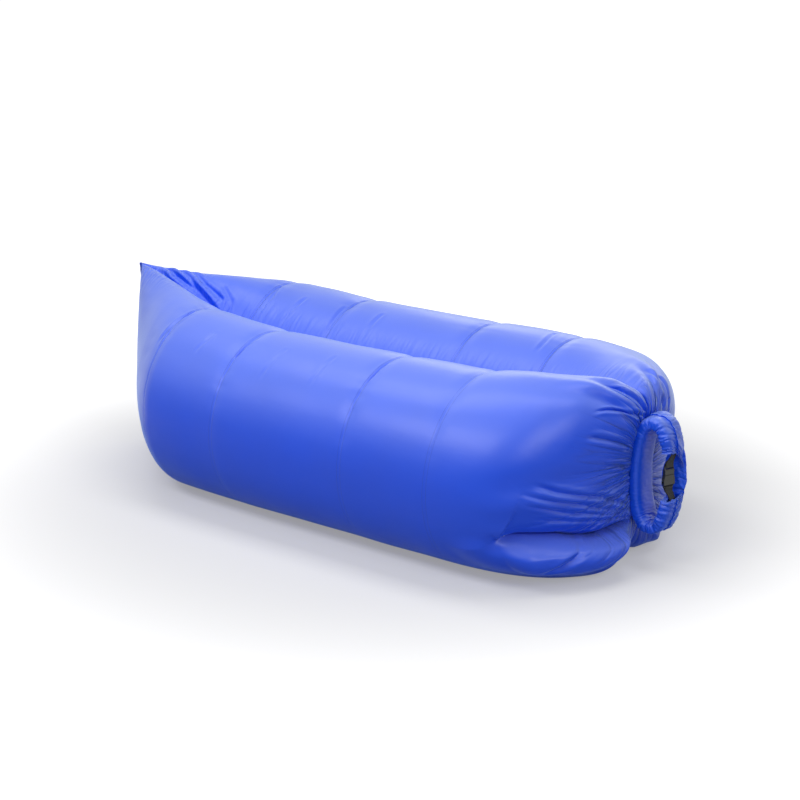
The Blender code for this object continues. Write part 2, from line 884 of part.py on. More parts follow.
def buckle_plug(frame):
    foot = socket_length + gap
    top = foot + plug_length
    mesh = plate_mesh("buckle_plug", plug_outline(), plug_thickness)
    thin_plate(mesh, top - bar_height - slot_height * 1.6, top - bar_height - slot_height / 2,
               bar_thickness / plug_thickness)
    part = buckle_part("buckle_plug", mesh, frame)
    round_edges(part, edge_round)
    guide = plate_mesh("plug_guide", box_outline(
        guide_width / 2, foot - guide_length, foot + slot_side), guide_thickness)
    combine(part, buckle_part(guide.name, guide, frame), "UNION")
    slot = plate_mesh("plug_slot", box_outline(
        plug_top_width / 2 - slot_side, top - bar_height - slot_height, top - bar_height),
        plug_thickness + cut_overrun)
    combine(part, buckle_part(slot.name, slot, frame))
    for side in (-1, 1):
        half_root = arm_width / 2 + arm_clearance
        centre = side * arm_spread
        outline = [(centre - half_root, foot - cut_overrun), (centre + half_root, foot - cut_overrun),
                   (centre + half_root, foot + arm_root_height + gap),
                   (centre - half_root, foot + arm_root_height + gap)]
        notch = plate_mesh("arm_notch_%d" % (side + 2), outline, arm_thickness + 2 * gap)
        combine(part, buckle_part(notch.name, notch, frame))
    buckle_finish(part)
    return part


# An arm hangs from its root in the plug, bows outwards to the finger grip in the socket's
# window, and ends in a tapered tip
def arm_outline():
    root = arm_root_height
    hinge = socket_length + gap
    grip_top = window_foot + window_length - gap - hinge
    grip_foot = grip_top - grip_length
    tip = socket_floor + 2 * arm_clearance - hinge
    half = arm_width / 2
    bow = socket_mouth_width / 2 - socket_wall - arm_spread - half - arm_clearance
    grip = socket_belly_width / 2 + grip_stand_out - arm_spread
    return [
        (-half, root), (-half, grip_top * 0.5), (bow - 2 * half, grip_top),
        (bow - 2 * half, grip_foot), (bow - 3 * half, tip * 0.95), (bow - 2.4 * half, tip),
        (bow - 1.2 * half, tip), (bow, grip_foot - half), (grip, grip_foot),
        (grip, grip_top - half), (grip - half / 2, grip_top),
        (bow, grip_top), (half, grip_top * 0.4), (half, root),
    ]


def latch_arm(name, side, frame):
    outline = [(side * y, z) for y, z in arm_outline()]
    mesh = plate_mesh(name, outline, arm_thickness)
    part = buckle_part(name, mesh, frame, (0.0, side * arm_spread, socket_length + gap))
    round_edges(part, edge_round / 3, segments=1)
    buckle_finish(part)
    return part


# The furthest point of the loop from the head
def loop_reach():
    return max(loop_point(turn, roll_thickness / 2 * pucker_at(turn))[0]
               for turn in roll_turns())


middle = (foremost + loop_reach()) / 2


def build_lounger():
    clear_scene()
    for label, side in (("front", -1), ("back", 1)):
        tube_panels(label, side)
        air_liner(label + "_air_liner", side)
    centre_divider()
    head_end_binding()
    rolled_mouth()
    mouth_batten("outer_batten", 0)
    mouth_batten("inner_batten", 1)
    frame = buckle_frame()
    buckle_socket(frame)
    buckle_plug(frame)
    latch_arm("front_latch_arm", -1, frame)
    latch_arm("back_latch_arm", 1, frame)
    lower_bar = buckle_height + bar_height / 2
    upper_bar = buckle_height + socket_length + gap + plug_length - bar_height / 2
    strap_object("lower_webbing", lower_bar, lower_end_height, -1)
    strap_object("upper_webbing", upper_bar, upper_end_height, 1)


build_lounger()
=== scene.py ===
import math
import bpy
import numpy as np
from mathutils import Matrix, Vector


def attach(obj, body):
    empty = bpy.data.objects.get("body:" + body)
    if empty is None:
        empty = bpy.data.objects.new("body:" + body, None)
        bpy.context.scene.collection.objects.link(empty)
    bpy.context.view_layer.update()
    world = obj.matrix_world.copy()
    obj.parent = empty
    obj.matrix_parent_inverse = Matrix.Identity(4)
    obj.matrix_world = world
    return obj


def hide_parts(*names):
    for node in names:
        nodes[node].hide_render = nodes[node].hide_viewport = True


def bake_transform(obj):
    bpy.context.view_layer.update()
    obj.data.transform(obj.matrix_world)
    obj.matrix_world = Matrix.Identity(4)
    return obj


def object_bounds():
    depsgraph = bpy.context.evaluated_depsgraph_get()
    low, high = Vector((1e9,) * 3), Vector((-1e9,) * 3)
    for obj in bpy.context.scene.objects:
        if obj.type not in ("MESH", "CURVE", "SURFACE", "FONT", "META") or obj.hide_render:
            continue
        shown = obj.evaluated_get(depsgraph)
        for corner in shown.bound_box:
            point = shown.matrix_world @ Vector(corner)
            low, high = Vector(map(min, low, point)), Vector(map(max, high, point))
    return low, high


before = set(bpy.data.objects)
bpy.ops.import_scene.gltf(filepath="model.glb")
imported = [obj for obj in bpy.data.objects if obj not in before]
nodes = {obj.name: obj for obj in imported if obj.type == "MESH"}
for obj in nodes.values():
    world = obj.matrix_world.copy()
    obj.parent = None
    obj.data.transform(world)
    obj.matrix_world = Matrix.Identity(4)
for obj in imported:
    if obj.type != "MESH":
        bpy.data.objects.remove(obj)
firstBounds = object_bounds()
tau = math.tau

# The lounger's sizes in metres. Distances run along the tubes from the end seam at the head.
cover = {
    "length": 1.794, "seams": (0.390, 0.680, 1.155, 1.445), "headTaper": 0.700, "footRound": 0.398,
    "offset": 0.225, "halfWidth": 0.258, "crest": 0.524, "swell": 0.009, "widening": 0.005,
    "swellStart": 0.300, "flatCos": math.cos(math.radians(12)), "edge": 0.0007, "wall": 0.0008,
    "seamOffset": 0.0015, "seamHalfWidth": 0.004, "tipRise": 0.060, "seamLift": 0.020,
    "seamLean": 0.024, "tipLean": 0.020, "seamTuck": 0.055, "leanReach": 0.250,
    "pinch": 0.005, "pinchSpread": 0.022, "foldDepth": 0.009, "foldReach": 0.270,
    "neckOffset": 0.010, "neckHalfWidth": 0.036, "neckTop": 0.412, "neckFoot": 0.138,
    "wrapReach": 0.090, "wrapShare": 0.80, "heel": 0.046, "heelHeight": 0.200,
    "fullness": {-1: 0.016, 1: -0.004},  # of the crest at the foot, near tube and far tube
    "gap": 0.00015,  # half the space between two panels
}
# How the section grows over the head: place, then shares of the offset, half width, tip rise and seam lift
headShares = (
    (0.000, 0.000, 0.000, 1.00, 1.00), (0.029, 0.044, 0.155, 0.95, 0.75),
    (0.086, 0.133, 0.295, 0.87, 0.40), (0.214, 0.369, 0.515, 0.67, 0.00),
    (0.400, 0.711, 0.772, 0.46, 0.00), (0.600, 0.947, 0.972, 0.26, 0.00),
    (1.000, 1.000, 1.000, 0.00, 0.00),
)
loop = {"halfWidth": 0.074, "halfHeight": 0.172, "height": 0.275, "thick": 0.044, "wide": 0.098,
        "bend": 0.020, "upperEnd": 0.344, "lowerEnd": 0.214}
loop["centre"] = cover["length"] + 0.0003 + loop["halfWidth"]
headReach = 0.0534  # how far the tape at the head tip stands past the start of the tubes
middle = -headReach - firstBounds[0].x
buckle = {"x": loop["centre"] + loop["halfWidth"] - 0.038 - middle, "turn": math.radians(-22),
          "lowerBar": 0.24475, "upperBar": 0.30405}


# Small helpers

def ease(value):
    value = np.clip(value, 0.0, 1.0)
    return value * value * (3 - 2 * value)


def hashed(index, salt):
    value = np.sin(np.asarray(index) * 12.9898 + salt * 78.233) * 4375.85453
    return value - np.floor(value)


def smoothNoise(u, v, salt):
    total = 0.0
    for k in range(5):
        a, b, c = (float(hashed(k * 3 + j, salt)) for j in range(3))
        total = total + np.sin(u * (0.6 + 1.1 * a) * (1 + 0.5 * k) + v * (1.2 * b - 0.6) * (1 + k) + c * tau)
    return total / 3.0


def deselectAll():
    for item in bpy.context.selected_objects:
        item.select_set(False)


def pick(piece):
    deselectAll()
    piece.select_set(True)
    bpy.context.view_layer.objects.active = piece


# A grid primitive with a share along it and a share across it for each vertex
def newGrid(name, along, across):
    bpy.ops.mesh.primitive_grid_add(x_subdivisions=along, y_subdivisions=across, size=1.0, location=(0, 0, 0))
    piece = bpy.context.active_object
    piece.name = name
    piece.data.name = name
    flat = np.zeros(len(piece.data.vertices) * 3)
    piece.data.vertices.foreach_get("co", flat)
    flat = flat.reshape(-1, 3)
    u = np.clip(flat[:, 0] + 0.5, 0, 1)
    v = np.clip(flat[:, 1] + 0.5, 0, 1)
    row = np.rint(u * along).astype(int)
    column = np.rint(v * across).astype(int)
    return piece, row, column


def setPoints(piece, points):
    piece.data.vertices.foreach_set("co", np.ascontiguousarray(points, dtype=np.float32).ravel())
    piece.data.update()


def pointsOf(*axes):
    return np.stack(np.broadcast_arrays(*axes), axis=-1)


# A grid piece with one point for each row and column, mirrored for the far tube
def gridFrom(name, points, side=1.0):
    piece, row, column = newGrid(name, points.shape[0] - 1, points.shape[1] - 1)
    setPoints(piece, points[row, column] * np.array([1.0, side, 1.0]))
    return piece, row, column


# Writes a texture map from two values at each vertex
def setMap(piece, name, first, second):
    layer = piece.data.uv_layers.get(name) or piece.data.uv_layers.new(name=name)
    corner = np.zeros(len(piece.data.loops), dtype=np.int64)
    piece.data.loops.foreach_get("vertex_index", corner)
    pairs = np.stack([np.asarray(first)[corner], np.asarray(second)[corner]], axis=1)
    layer.data.foreach_set("uv", np.ascontiguousarray(pairs, dtype=np.float32).ravel())


def applyModifier(piece, step):
    pick(piece)
    bpy.ops.object.modifier_apply(modifier=step.name)


def closeMesh(piece, distance):
    pick(piece)
    bpy.ops.object.mode_set(mode="EDIT")
    bpy.ops.mesh.select_all(action="SELECT")
    bpy.ops.mesh.remove_doubles(threshold=distance)
    bpy.ops.mesh.normals_make_consistent(inside=False)
    bpy.ops.object.mode_set(mode="OBJECT")


# Offset -1 puts the wall inside the surface, and 0 centres it
def wallOf(piece, thickness, offset=-1.0):
    step = piece.modifiers.new("wall", "SOLIDIFY")
    step.thickness = thickness
    step.offset = offset
    applyModifier(piece, step)


def smoothShade(piece, angle):
    pick(piece)
    bpy.ops.object.shade_smooth_by_angle(angle=math.radians(angle))


def finishPiece(piece, material, node, angle=60, distance=None, rides=True):
    if distance:
        closeMesh(piece, distance)
    smoothShade(piece, angle)
    piece.data.materials.clear()
    piece.data.materials.append(material)
    if rides:
        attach(piece, "lounger")
    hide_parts(node)


# Travelled length at each point of a line
def runOf(points):
    return np.concatenate([[0], np.cumsum(np.linalg.norm(np.diff(points, axis=0), axis=1))])


def squarish(value, power):
    return np.sign(value) * np.abs(value) ** power


# Repeats the first and last entry, for the rows that close an end
def capped(values):
    return np.concatenate([values[:1], values, values[-1:]])


# The surface of one tube

def readShares(share, column):
    places = np.array([row[0] for row in headShares])
    values = np.array([row[column] for row in headShares])
    share = np.clip(share, 0.0, 1.0)
    steps = np.diff(values) / np.diff(places)
    slopes = np.zeros(len(values))
    for k in range(1, len(values) - 1):
        if steps[k - 1] * steps[k] > 0:
            slopes[k] = 2 * steps[k - 1] * steps[k] / (steps[k - 1] + steps[k])
    slopes[0], slopes[-1] = steps[0], steps[-1]
    k = np.clip(np.searchsorted(places, share, side="right") - 1, 0, len(places) - 2)
    length = places[k + 1] - places[k]
    t = (share - places[k]) / length
    start = values[k] * (1 + 2 * t) * (1 - t) ** 2 + slopes[k] * length * t * (1 - t) ** 2
    end = values[k + 1] * t * t * (3 - 2 * t) + slopes[k + 1] * length * t * t * (t - 1)
    return start + end


def sectionSizes(d):
    c = cover
    share = d / c["headTaper"]
    offset = c["seamOffset"] + (c["offset"] - c["seamOffset"]) * readShares(share, 1)
    half = c["seamHalfWidth"] + (c["halfWidth"] - c["seamHalfWidth"]) * readShares(share, 2)
    top = c["crest"] + c["tipRise"] * readShares(share, 3)
    foot = c["seamLift"] * readShares(share, 4)
    swellLength = c["length"] - c["footRound"] / 2 - c["headTaper"] - c["swellStart"]
    swell = ease((d - c["headTaper"] - c["swellStart"] / 2) / swellLength)
    top = top + c["swell"] * swell
    half = half + c["widening"] * swell
    along = np.clip(1 - (c["length"] - d) / c["footRound"], 0.0, 1.0)
    fullReach = (1 - along ** 3.4) ** (1 / 2.2)
    fullOffset = (1 - along ** 2.2) ** (1 / 1.8)
    fullTop = (1 - along ** 16.0) ** (1 / 3.0)
    fullFoot = (1 - along ** 13.0) ** (1 / 1.7)
    neckReach = c["neckOffset"] + c["neckHalfWidth"]
    reach = neckReach + (offset + half - neckReach) * fullReach
    offset = c["neckOffset"] + (offset - c["neckOffset"]) * fullOffset
    half = reach - offset
    top = c["neckTop"] + (top - c["neckTop"]) * fullTop
    foot = foot + (c["neckFoot"] - foot) * (1 - fullFoot)
    halfHeight = (top - foot) / (1 + c["flatCos"])
    return offset, half, halfHeight, foot + halfHeight * c["flatCos"], foot


# A point of the loop's middle line, or of a line outwards of it, for a turn round the loop
def loopPoint(turn, outwards):
    innerWidth = loop["halfWidth"] - loop["thick"] / 2 - loop["bend"]
    innerHeight = loop["halfHeight"] - loop["thick"] / 2 - loop["bend"]
    alongX, alongZ = np.cos(turn), np.sin(turn)
    nx, nz = innerHeight * alongX, innerWidth * alongZ
    size = np.sqrt(nx * nx + nz * nz)
    reach = loop["bend"] + outwards
    return (loop["centre"] + innerWidth * alongX + reach * nx / size,
            loop["height"] + innerHeight * alongZ + reach * nz / size)


def loopTurnAt(height, outwards=0.0):
    turns = np.linspace(-tau / 4, tau / 4, 2001)
    return float(np.interp(height, loopPoint(turns, outwards)[1], turns))


backTurns = np.linspace(tau * 0.75, tau * 0.25, 1441)
backX, backZ = loopPoint(backTurns, loop["thick"] / 2)


# The covers bend round the back of the loop where they meet it
def neckWrap(d, z):
    near = ease(1 - (cover["length"] - d) / cover["wrapReach"])
    reach = loop["halfHeight"] * cover["wrapShare"]
    share = (z - loop["height"]) / reach
    level = loop["height"] + reach * share / (1 + np.abs(share) ** 6) ** (1 / 6)
    return near * (np.interp(level, backZ, backX) - (loop["centre"] - loop["halfWidth"]))


def foldWave(s):
    sway = 0.06 * np.sin(tau * s * 1.5)
    return 0.5 - 0.5 * np.cos(tau * 6 * (0.5 * (s + 1) + sway))


def headLean(d, heightShare):
    fade = np.maximum(0.0, 1 - d / cover["leanReach"]) ** 1.5
    upper = np.clip(heightShare, 0.0, 1.0) ** 1.2
    lower = np.clip(-heightShare, 0.0, 1.0) ** 2
    return fade * (cover["seamTuck"] * lower - cover["tipLean"] * upper - cover["seamLean"])


# Points of the near tube mirrored to +Y, for distances d and places s round the tube
def tubeSurface(d, s, inset=0.0, folds=1.0, fullness=0.0):
    c = cover
    offset, half, halfHeight, centre, foot = sectionSizes(d)
    half = half - inset
    halfHeight = halfHeight - inset
    opening = np.arccos(np.clip((c["edge"] - offset) / half, -1.0, 1.0))
    angle = opening * s
    cosine, sine = np.cos(angle), np.sin(angle)
    ny, nz = cosine / half, sine / halfHeight
    size = np.sqrt(ny * ny + nz * nz)
    clearOfEdge = ease((1 - np.abs(s)) / 0.16)
    depth = 0.0
    wave = foldWave(s)
    if np.ndim(inset) == 0 and not inset:
        pinch = sum(np.exp(-((d - seam) / c["pinchSpread"]) ** 2) for seam in c["seams"])
        pinch = pinch * (0.06 + 0.94 * ease((s + 0.02) / 0.50))
        gather = ease(1 - (c["length"] - d) / c["foldReach"])
        depth = (c["pinch"] * pinch + folds * c["foldDepth"] * gather * wave)
        depth = depth * clearOfEdge * ease((sine + 0.93) / 0.25)
    y = np.maximum(offset + half * cosine - depth * ny / size, c["edge"])
    z = np.maximum(centre + halfHeight * sine - depth * nz / size, foot)
    near = np.clip(1 - (c["length"] - d) / c["foldReach"], 0.0, 1.0)
    sunk = folds * c["foldDepth"] * wave * clearOfEdge * near ** 3 * (1 - near ** 12)
    near = np.clip(1 - (c["length"] - d) / c["footRound"], 0.0, 1.0)
    low = ease(1 - z / c["heelHeight"])
    heel = c["heel"] * near ** 3 * (1 - near ** 30) * low * ease((1 - np.abs(s)) / 0.35)
    swollen = ease((d - 1.36) / 0.24) * ease((c["length"] - d) / 0.06)
    z = z + fullness * swollen * ease((s - 0.25) / 0.45) * ease((1 - s) / 0.12)
    x = d + headLean(d, sine) + neckWrap(d, z) + heel - sunk
    return pointsOf(x - middle, y, z), sine + 0 * d


# Length over the surface from the head end, at half height, for a distance along the tube
tableD = cover["length"] * (1 - (1 - np.linspace(0, 1, 8001)) ** 4)
tableP = tubeSurface(tableD[:, None], np.zeros((8001, 1)) + 0.05, folds=0.0)[0][:, 0]
tableM = runOf(tableP)
wholeM = tableM[-1]
print("length over the surface", round(float(wholeM), 3))


def overSurface(d):
    return np.interp(d, tableD, tableM)


# Valleys that run along the tube: each has its own depth, reach and slant
def valleys(away, s, count, reach, sharp, salt):
    sway = 0.35 * np.sin(tau * (1.3 * s + hashed(salt, 1))) + 0.5 * smoothNoise(away * 3, s * 2, salt)
    phase = count * (0.5 * (s + 1)) + sway
    index = np.round(phase)
    near = np.clip(1 - 2 * np.abs(phase - index), 0, 1)
    depth = 0.25 + 0.75 * hashed(index, salt + 2)
    own = reach * (0.45 + 0.75 * hashed(index, salt + 5)) * (0.42 + 0.58 * ease((0.30 - s) / 0.45))
    shape = 0.74 * near ** sharp + 0.26 * near ** 1.4
    return depth * shape * ease(1 - away / own) ** 0.8


# Creases seen in the photograph on the near and the far tube: depth, width, the places they pass,
# and where the cloth below one stands out like a flap, how far
creases = {-1: (
    (0.0065, 0.0055, ((1.747, 0.744), (1.767, 0.783), (1.788, 0.822), (1.793, 0.860))),
    (0.0065, 0.0055, ((1.762, 0.478), (1.775, 0.522), (1.790, 0.611), (1.793, 0.680))),
    (0.0060, 0.0055, ((1.765, 0.325), (1.777, 0.317), (1.786, 0.311), (1.793, 0.294))),
    (0.0050, 0.0050, ((1.785, 0.130), (1.792, 0.111), (1.7935, 0.067))),
    (0.0065, 0.0055, ((1.705, 0.100), (1.727, 0.072), (1.749, 0.033), (1.783, -0.083),
                      (1.7935, -0.300))),
    (0.0050, 0.0050, ((1.685, 0.061), (1.753, -0.028), (1.786, -0.194), (1.7935, -0.400))),
    (0.0050, 0.0050, ((1.695, 0.006), (1.758, -0.100), (1.788, -0.261), (1.7935, -0.450))),
    (0.0050, 0.0050, ((1.709, -0.083), (1.762, -0.156), (1.787, -0.306), (1.7935, -0.500))),
    (0.0100, 0.0060, ((1.625, -0.122), (1.635, -0.189), (1.695, -0.189), (1.755, -0.233),
                      (1.785, -0.400), (1.7935, -0.620)), 0.044),
    (0.0060, 0.0060, ((1.690, -0.356), (1.727, -0.344), (1.763, -0.311), (1.785, -0.394)), 0.005),
    (0.0040, 0.0050, ((1.735, -0.670), (1.748, -0.650), (1.769, -0.617), (1.780, -0.600))),
    (0.0040, 0.0050, ((0.366, 0.300), (0.376, 0.400), (0.386, 0.500), (0.392, 0.580))),
    (0.0036, 0.0045, ((0.690, 0.560), (0.685, 0.470), (0.680, 0.380))),
    (0.0034, 0.0045, ((1.160, 0.560), (1.158, 0.480), (1.155, 0.400))),
    (0.0022, 0.0045, ((0.532, 0.330), (0.537, 0.367), (0.547, 0.417), (0.552, 0.470))),
    (0.0022, 0.0045, ((0.806, 0.290), (0.810, 0.340), (0.818, 0.422), (0.822, 0.480))),
    (0.0020, 0.0045, ((0.981, 0.310), (0.984, 0.350), (0.988, 0.439), (0.990, 0.500))),
), 1: (
    (0.0100, 0.0080, ((0.030, 0.740), (0.056, 0.778), (0.101, 0.894), (0.171, 0.922),
                      (0.261, 0.967))),
    (0.0075, 0.0065, ((0.080, 0.730), (0.101, 0.789), (0.166, 0.889), (0.231, 0.939))),
    (0.0065, 0.0060, ((0.110, 0.690), (0.121, 0.728), (0.191, 0.850), (0.266, 0.889))),
    (0.0045, 0.0050, ((0.240, 0.790), (0.256, 0.822), (0.301, 0.878), (0.310, 0.930))),
    (0.0036, 0.0050, ((0.505, 0.920), (0.507, 0.861), (0.517, 0.772), (0.520, 0.720))),
    (0.0036, 0.0050, ((0.402, 0.928), (0.412, 0.772), (0.392, 0.660))),
    (0.0038, 0.0050, ((0.676, 0.900), (0.672, 0.839), (0.667, 0.700))),
    (0.0038, 0.0050, ((0.813, 0.940), (0.813, 0.820), (0.813, 0.700))),
    (0.0038, 0.0050, ((1.400, 0.780), (1.394, 0.689), (1.380, 0.580))),
    (0.0055, 0.0055, ((1.757, 0.600), (1.765, 0.556), (1.781, 0.467), (1.790, 0.330))),
    (0.0055, 0.0055, ((1.745, 0.740), (1.757, 0.706), (1.784, 0.611), (1.792, 0.440))),
)}


# Signed lift of one crease over a grid, in metres, negative in its valley
def creaseLift(place, points, depth, width, flap=0.0):
    points = np.array(points)
    steps = np.linalg.norm(np.diff(points, axis=0), axis=1)
    total = steps.sum()
    best = np.full(place.shape[:2], 1e9)
    travelled = np.zeros(place.shape[:2])
    below = np.zeros(place.shape[:2])
    before = 0.0
    for start, end, step in zip(points[:-1], points[1:], steps):
        along = (end - start) / step
        reach = np.clip(np.sum((place - start) * along, axis=-1), 0, step)
        away = np.linalg.norm(place - start - reach[..., None] * along, axis=-1)
        closer = away < best
        best = np.where(closer, away, best)
        travelled = np.where(closer, before + reach, travelled)
        lower = along[1] * (place[..., 0] - start[0]) - along[0] * (place[..., 1] - start[1]) > 0
        below = np.where(closer, lower, below)
        before += step
    share = travelled / total
    fade = ease(share / 0.25) * ease((1.15 - share) / 0.25)
    valley = np.exp(-(best / width) ** 2)
    lips = 0.42 * np.exp(-((best - 2.1 * width) / (1.2 * width)) ** 2)
    shelf = below * ease(best / 0.045) * ease((0.165 - best) / 0.105) - 1.4 * np.exp(-best / 0.030)
    return fade * (depth * (lips - valley) + flap * shelf)


# Gathers at the mouth: depth, how many, reach, sharpness
gathers = ((0.0165, 13, 0.480, 5.0), (0.0110, 27, 0.420, 3.6), (0.0048, 55, 0.300, 2.0))
# Cross seams: how deep the thread lies, its width, and the puckers along it
seam = {"depth": 0.0024, "width": 0.0030, "lip": 0.0009, "lipPlace": 0.006, "lipWidth": 0.0035,
        "puckers": 26, "slack": 0.4}


# How far the cloth lies off the plain surface of the tube, at a grid of places
def liftOf(d, s, sine, side, halfArc):
    salt = 11 if side < 0 else 37
    m = overSurface(d)
    away = wholeM - m
    tight = (np.minimum(halfArc, 0.60) / 0.60) ** 0.7
    lift = 0.0
    for number, (depth, count, reach, sharp) in enumerate(gathers):
        lift = lift - depth * tight * valleys(away, s, count, reach, sharp, salt + number)
    lift = lift * ease(away / 0.014) + 0.0040 * ease(1 - away / 0.36) * ease(away / 0.05)
    lift = lift + 0.0190 * ease(away / 0.009) * ease(1 - (away - 0.012) / 0.250)
    above = 0.10 + 0.90 * ease((s + 0.05) / 0.45)
    for number, place in enumerate(cover["seams"]):
        phase = seam["puckers"] * (0.5 * (s + 1)) + 0.4 * smoothNoise(s * 6, 0 * d, salt + number)
        index = np.round(phase)
        near = np.clip(1 - 2 * np.abs(phase - index), 0, 1) ** 1.6
        reach = 0.014 + 0.040 * hashed(index, salt + 7 + number) ** 2
        depth = 0.00052 + 0.00208 * hashed(index, salt + 9 + number) ** 2
        drawn = above * (seam["slack"] if side < 0 and number == 3 else 1.0)  # the near tube's last seam
        off = np.abs(d - place)
        lift = lift - drawn * depth * near * np.exp(-off / reach)
        lift = lift - seam["depth"] * drawn * np.exp(-off / seam["width"])
        lift = lift + seam["lip"] * drawn * np.exp(-((off - seam["lipPlace"]) / seam["lipWidth"]) ** 2)
    headPuckers = valleys(m, s, 18, 0.130, 1.4, salt + 4)
    lift = lift - 0.0022 * headPuckers * (1 - 0.5 * np.exp(-d / 0.060))
    lift = lift + 0.0010 * smoothNoise(d * 9, s * 5, salt + 3) * ease(d / 0.2)
    place = pointsOf(m, s * halfArc)
    rows = d[:, 0]
    for depth, width, points, *flap in creases[side]:
        places = [a for a, b in points]
        if max(places) > rows[0] - 0.05 and min(places) < rows[-1] + 0.05:
            arcs = np.interp(places, rows, halfArc[:, 0])
            metric = [(float(overSurface(a)), b * float(arc)) for (a, b), arc in zip(points, arcs)]
            lift = lift + creaseLift(place, metric, depth, width, *flap)
    lift = lift + settledLift(side, m, s)
    return lift * ease((1 - np.abs(s)) / 0.06) * ease((sine + 0.97) / 0.12)


# Normals that point away from the tube's middle line, and the centre of each row
def outwardNormals(points):
    normals = np.cross(np.gradient(points, axis=1), np.gradient(points, axis=0))
    normals /= np.linalg.norm(normals, axis=2, keepdims=True) + 1e-12
    centre = points.mean(axis=1, keepdims=True)
    return normals * math.copysign(1.0, np.sum(normals * (points - centre), axis=2).mean()), centre


# Cloth under air pressure: one tube as a loose grid, held at its seams and edges. The foot's
# cloth is cut wider than the space it is gathered into, so it buckles into folds.
cloth = {"rows": 170, "columns": 110, "frames": 16, "loose": 0.012, "gathered": 0.10, "gatherReach": 0.50,
         "cap": 0.011, "seamHold": 0.35}
clothSettings = {"quality": 5, "mass": 0.15, "tension_stiffness": 20, "compression_stiffness": 20,
                 "shear_stiffness": 8, "bending_stiffness": 0.02, "use_pressure": True,
                 "uniform_pressure_force": 2.0, "vertex_group_mass": "held", "pin_stiffness": 1.0}
simulated = {}


def simulateTube(side):
    rows, columns = cloth["rows"], cloth["columns"]
    m = np.linspace(0, wholeM, rows + 1)
    d = np.interp(m, tableM, tableD)[:, None]
    s = np.linspace(1.0, -1.0, columns + 1)[None, :]
    points, sine = tubeSurface(d, s + 0 * d, fullness=cover["fullness"][side])
    normals, centre = outwardNormals(points)
    points = points + normals * 0.0006 * smoothNoise(m[:, None] * 40, s * 25, 51 + side)[..., None]
    piece, row, column = gridFrom("simulated_cloth", points)
    face = piece.data.polygons[len(piece.data.polygons) // 2]
    if np.dot(face.normal, normals[row[face.vertices[0]], column[face.vertices[0]]]) < 0:
        piece.data.flip_normals()
    piece.shape_key_add(name="Basis")
    loose = piece.shape_key_add(name="loose")
    gathered = ease(1 - (wholeM - m) / cloth["gatherReach"])[:, None, None]
    wide = centre + (points - centre) * (1 + cloth["loose"] + cloth["gathered"] * gathered)
    wide[..., 0] = points[..., 0] * (1 + cloth["loose"])
    loose.data.foreach_set("co", np.ascontiguousarray(wide[row, column], dtype=np.float32).ravel())
    held = piece.vertex_groups.new(name="held")
    seamRows = [int(round(float(overSurface(place)) / wholeM * rows)) for place in cover["seams"]]
    firm = (row <= 1) | (row >= rows - 1) | (column <= 1) | (column >= columns - 1)
    held.add([int(k) for k in np.nonzero(firm)[0]], 1.0, "REPLACE")
    sewn = np.isin(row, seamRows) & ~firm
    held.add([int(k) for k in np.nonzero(sewn)[0]], cloth["seamHold"], "REPLACE")
    step = piece.modifiers.new("cloth", "CLOTH")
    for key, value in clothSettings.items():
        setattr(step.settings, key, value)
    step.settings.rest_shape_key = loose
    step.settings.effector_weights.gravity = 0.0
    step.collision_settings.use_collision = False
    step.point_cache.frame_start, step.point_cache.frame_end = 1, cloth["frames"]
    for number in range(1, cloth["frames"] + 1):
        bpy.context.scene.frame_set(number)
    settled = piece.evaluated_get(bpy.context.evaluated_depsgraph_get()).data
    there = np.zeros(len(settled.vertices) * 3)
    settled.vertices.foreach_get("co", there)
    moved = there.reshape(-1, 3) - points[row, column]
    lift = np.zeros((rows + 1, columns + 1))
    lift[row, column] = np.sum(moved * normals[row, column], axis=1)
    mesh = piece.data
    bpy.data.objects.remove(piece, do_unlink=True)
    bpy.data.meshes.remove(mesh)
    bpy.context.scene.frame_set(1)
    print("cloth settled, most moved", round(float(np.abs(lift).max()), 4))
    lift = cloth["cap"] * np.tanh(lift / cloth["cap"])
    lift[1:-1] = (lift[:-2] + 2 * lift[1:-1] + lift[2:]) / 4
    lift[:, 1:-1] = (lift[:, :-2] + 2 * lift[:, 1:-1] + lift[:, 2:]) / 4
    return lift


# The settled cloth's lift at other places, read with a smooth kernel
def settledLift(side, m, s):
    if side not in simulated:
        return 0.0
    lift = simulated[side]
    rows, columns = lift.shape[0] - 1, lift.shape[1] - 1
    total = 0.0
    a = np.clip(m / wholeM * rows, 0, rows)
    b = np.clip((1 - s) / 2 * columns, 0, columns)
    a, b = np.broadcast_arrays(a, b)
    ia, ib = np.floor(a).astype(int), np.floor(b).astype(int)
    fa, fb = a - ia, b - ib

    def weights(f):
        return ((1 - f) ** 3 / 6, (3 * f ** 3 - 6 * f ** 2 + 4) / 6,
                (-3 * f ** 3 + 3 * f ** 2 + 3 * f + 1) / 6, f ** 3 / 6)
    for i, wa in enumerate(weights(fa)):
        for j, wb in enumerate(weights(fb)):
            total = total + wa * wb * lift[np.clip(ia + i - 1, 0, rows), np.clip(ib + j - 1, 0, columns)]
    return total


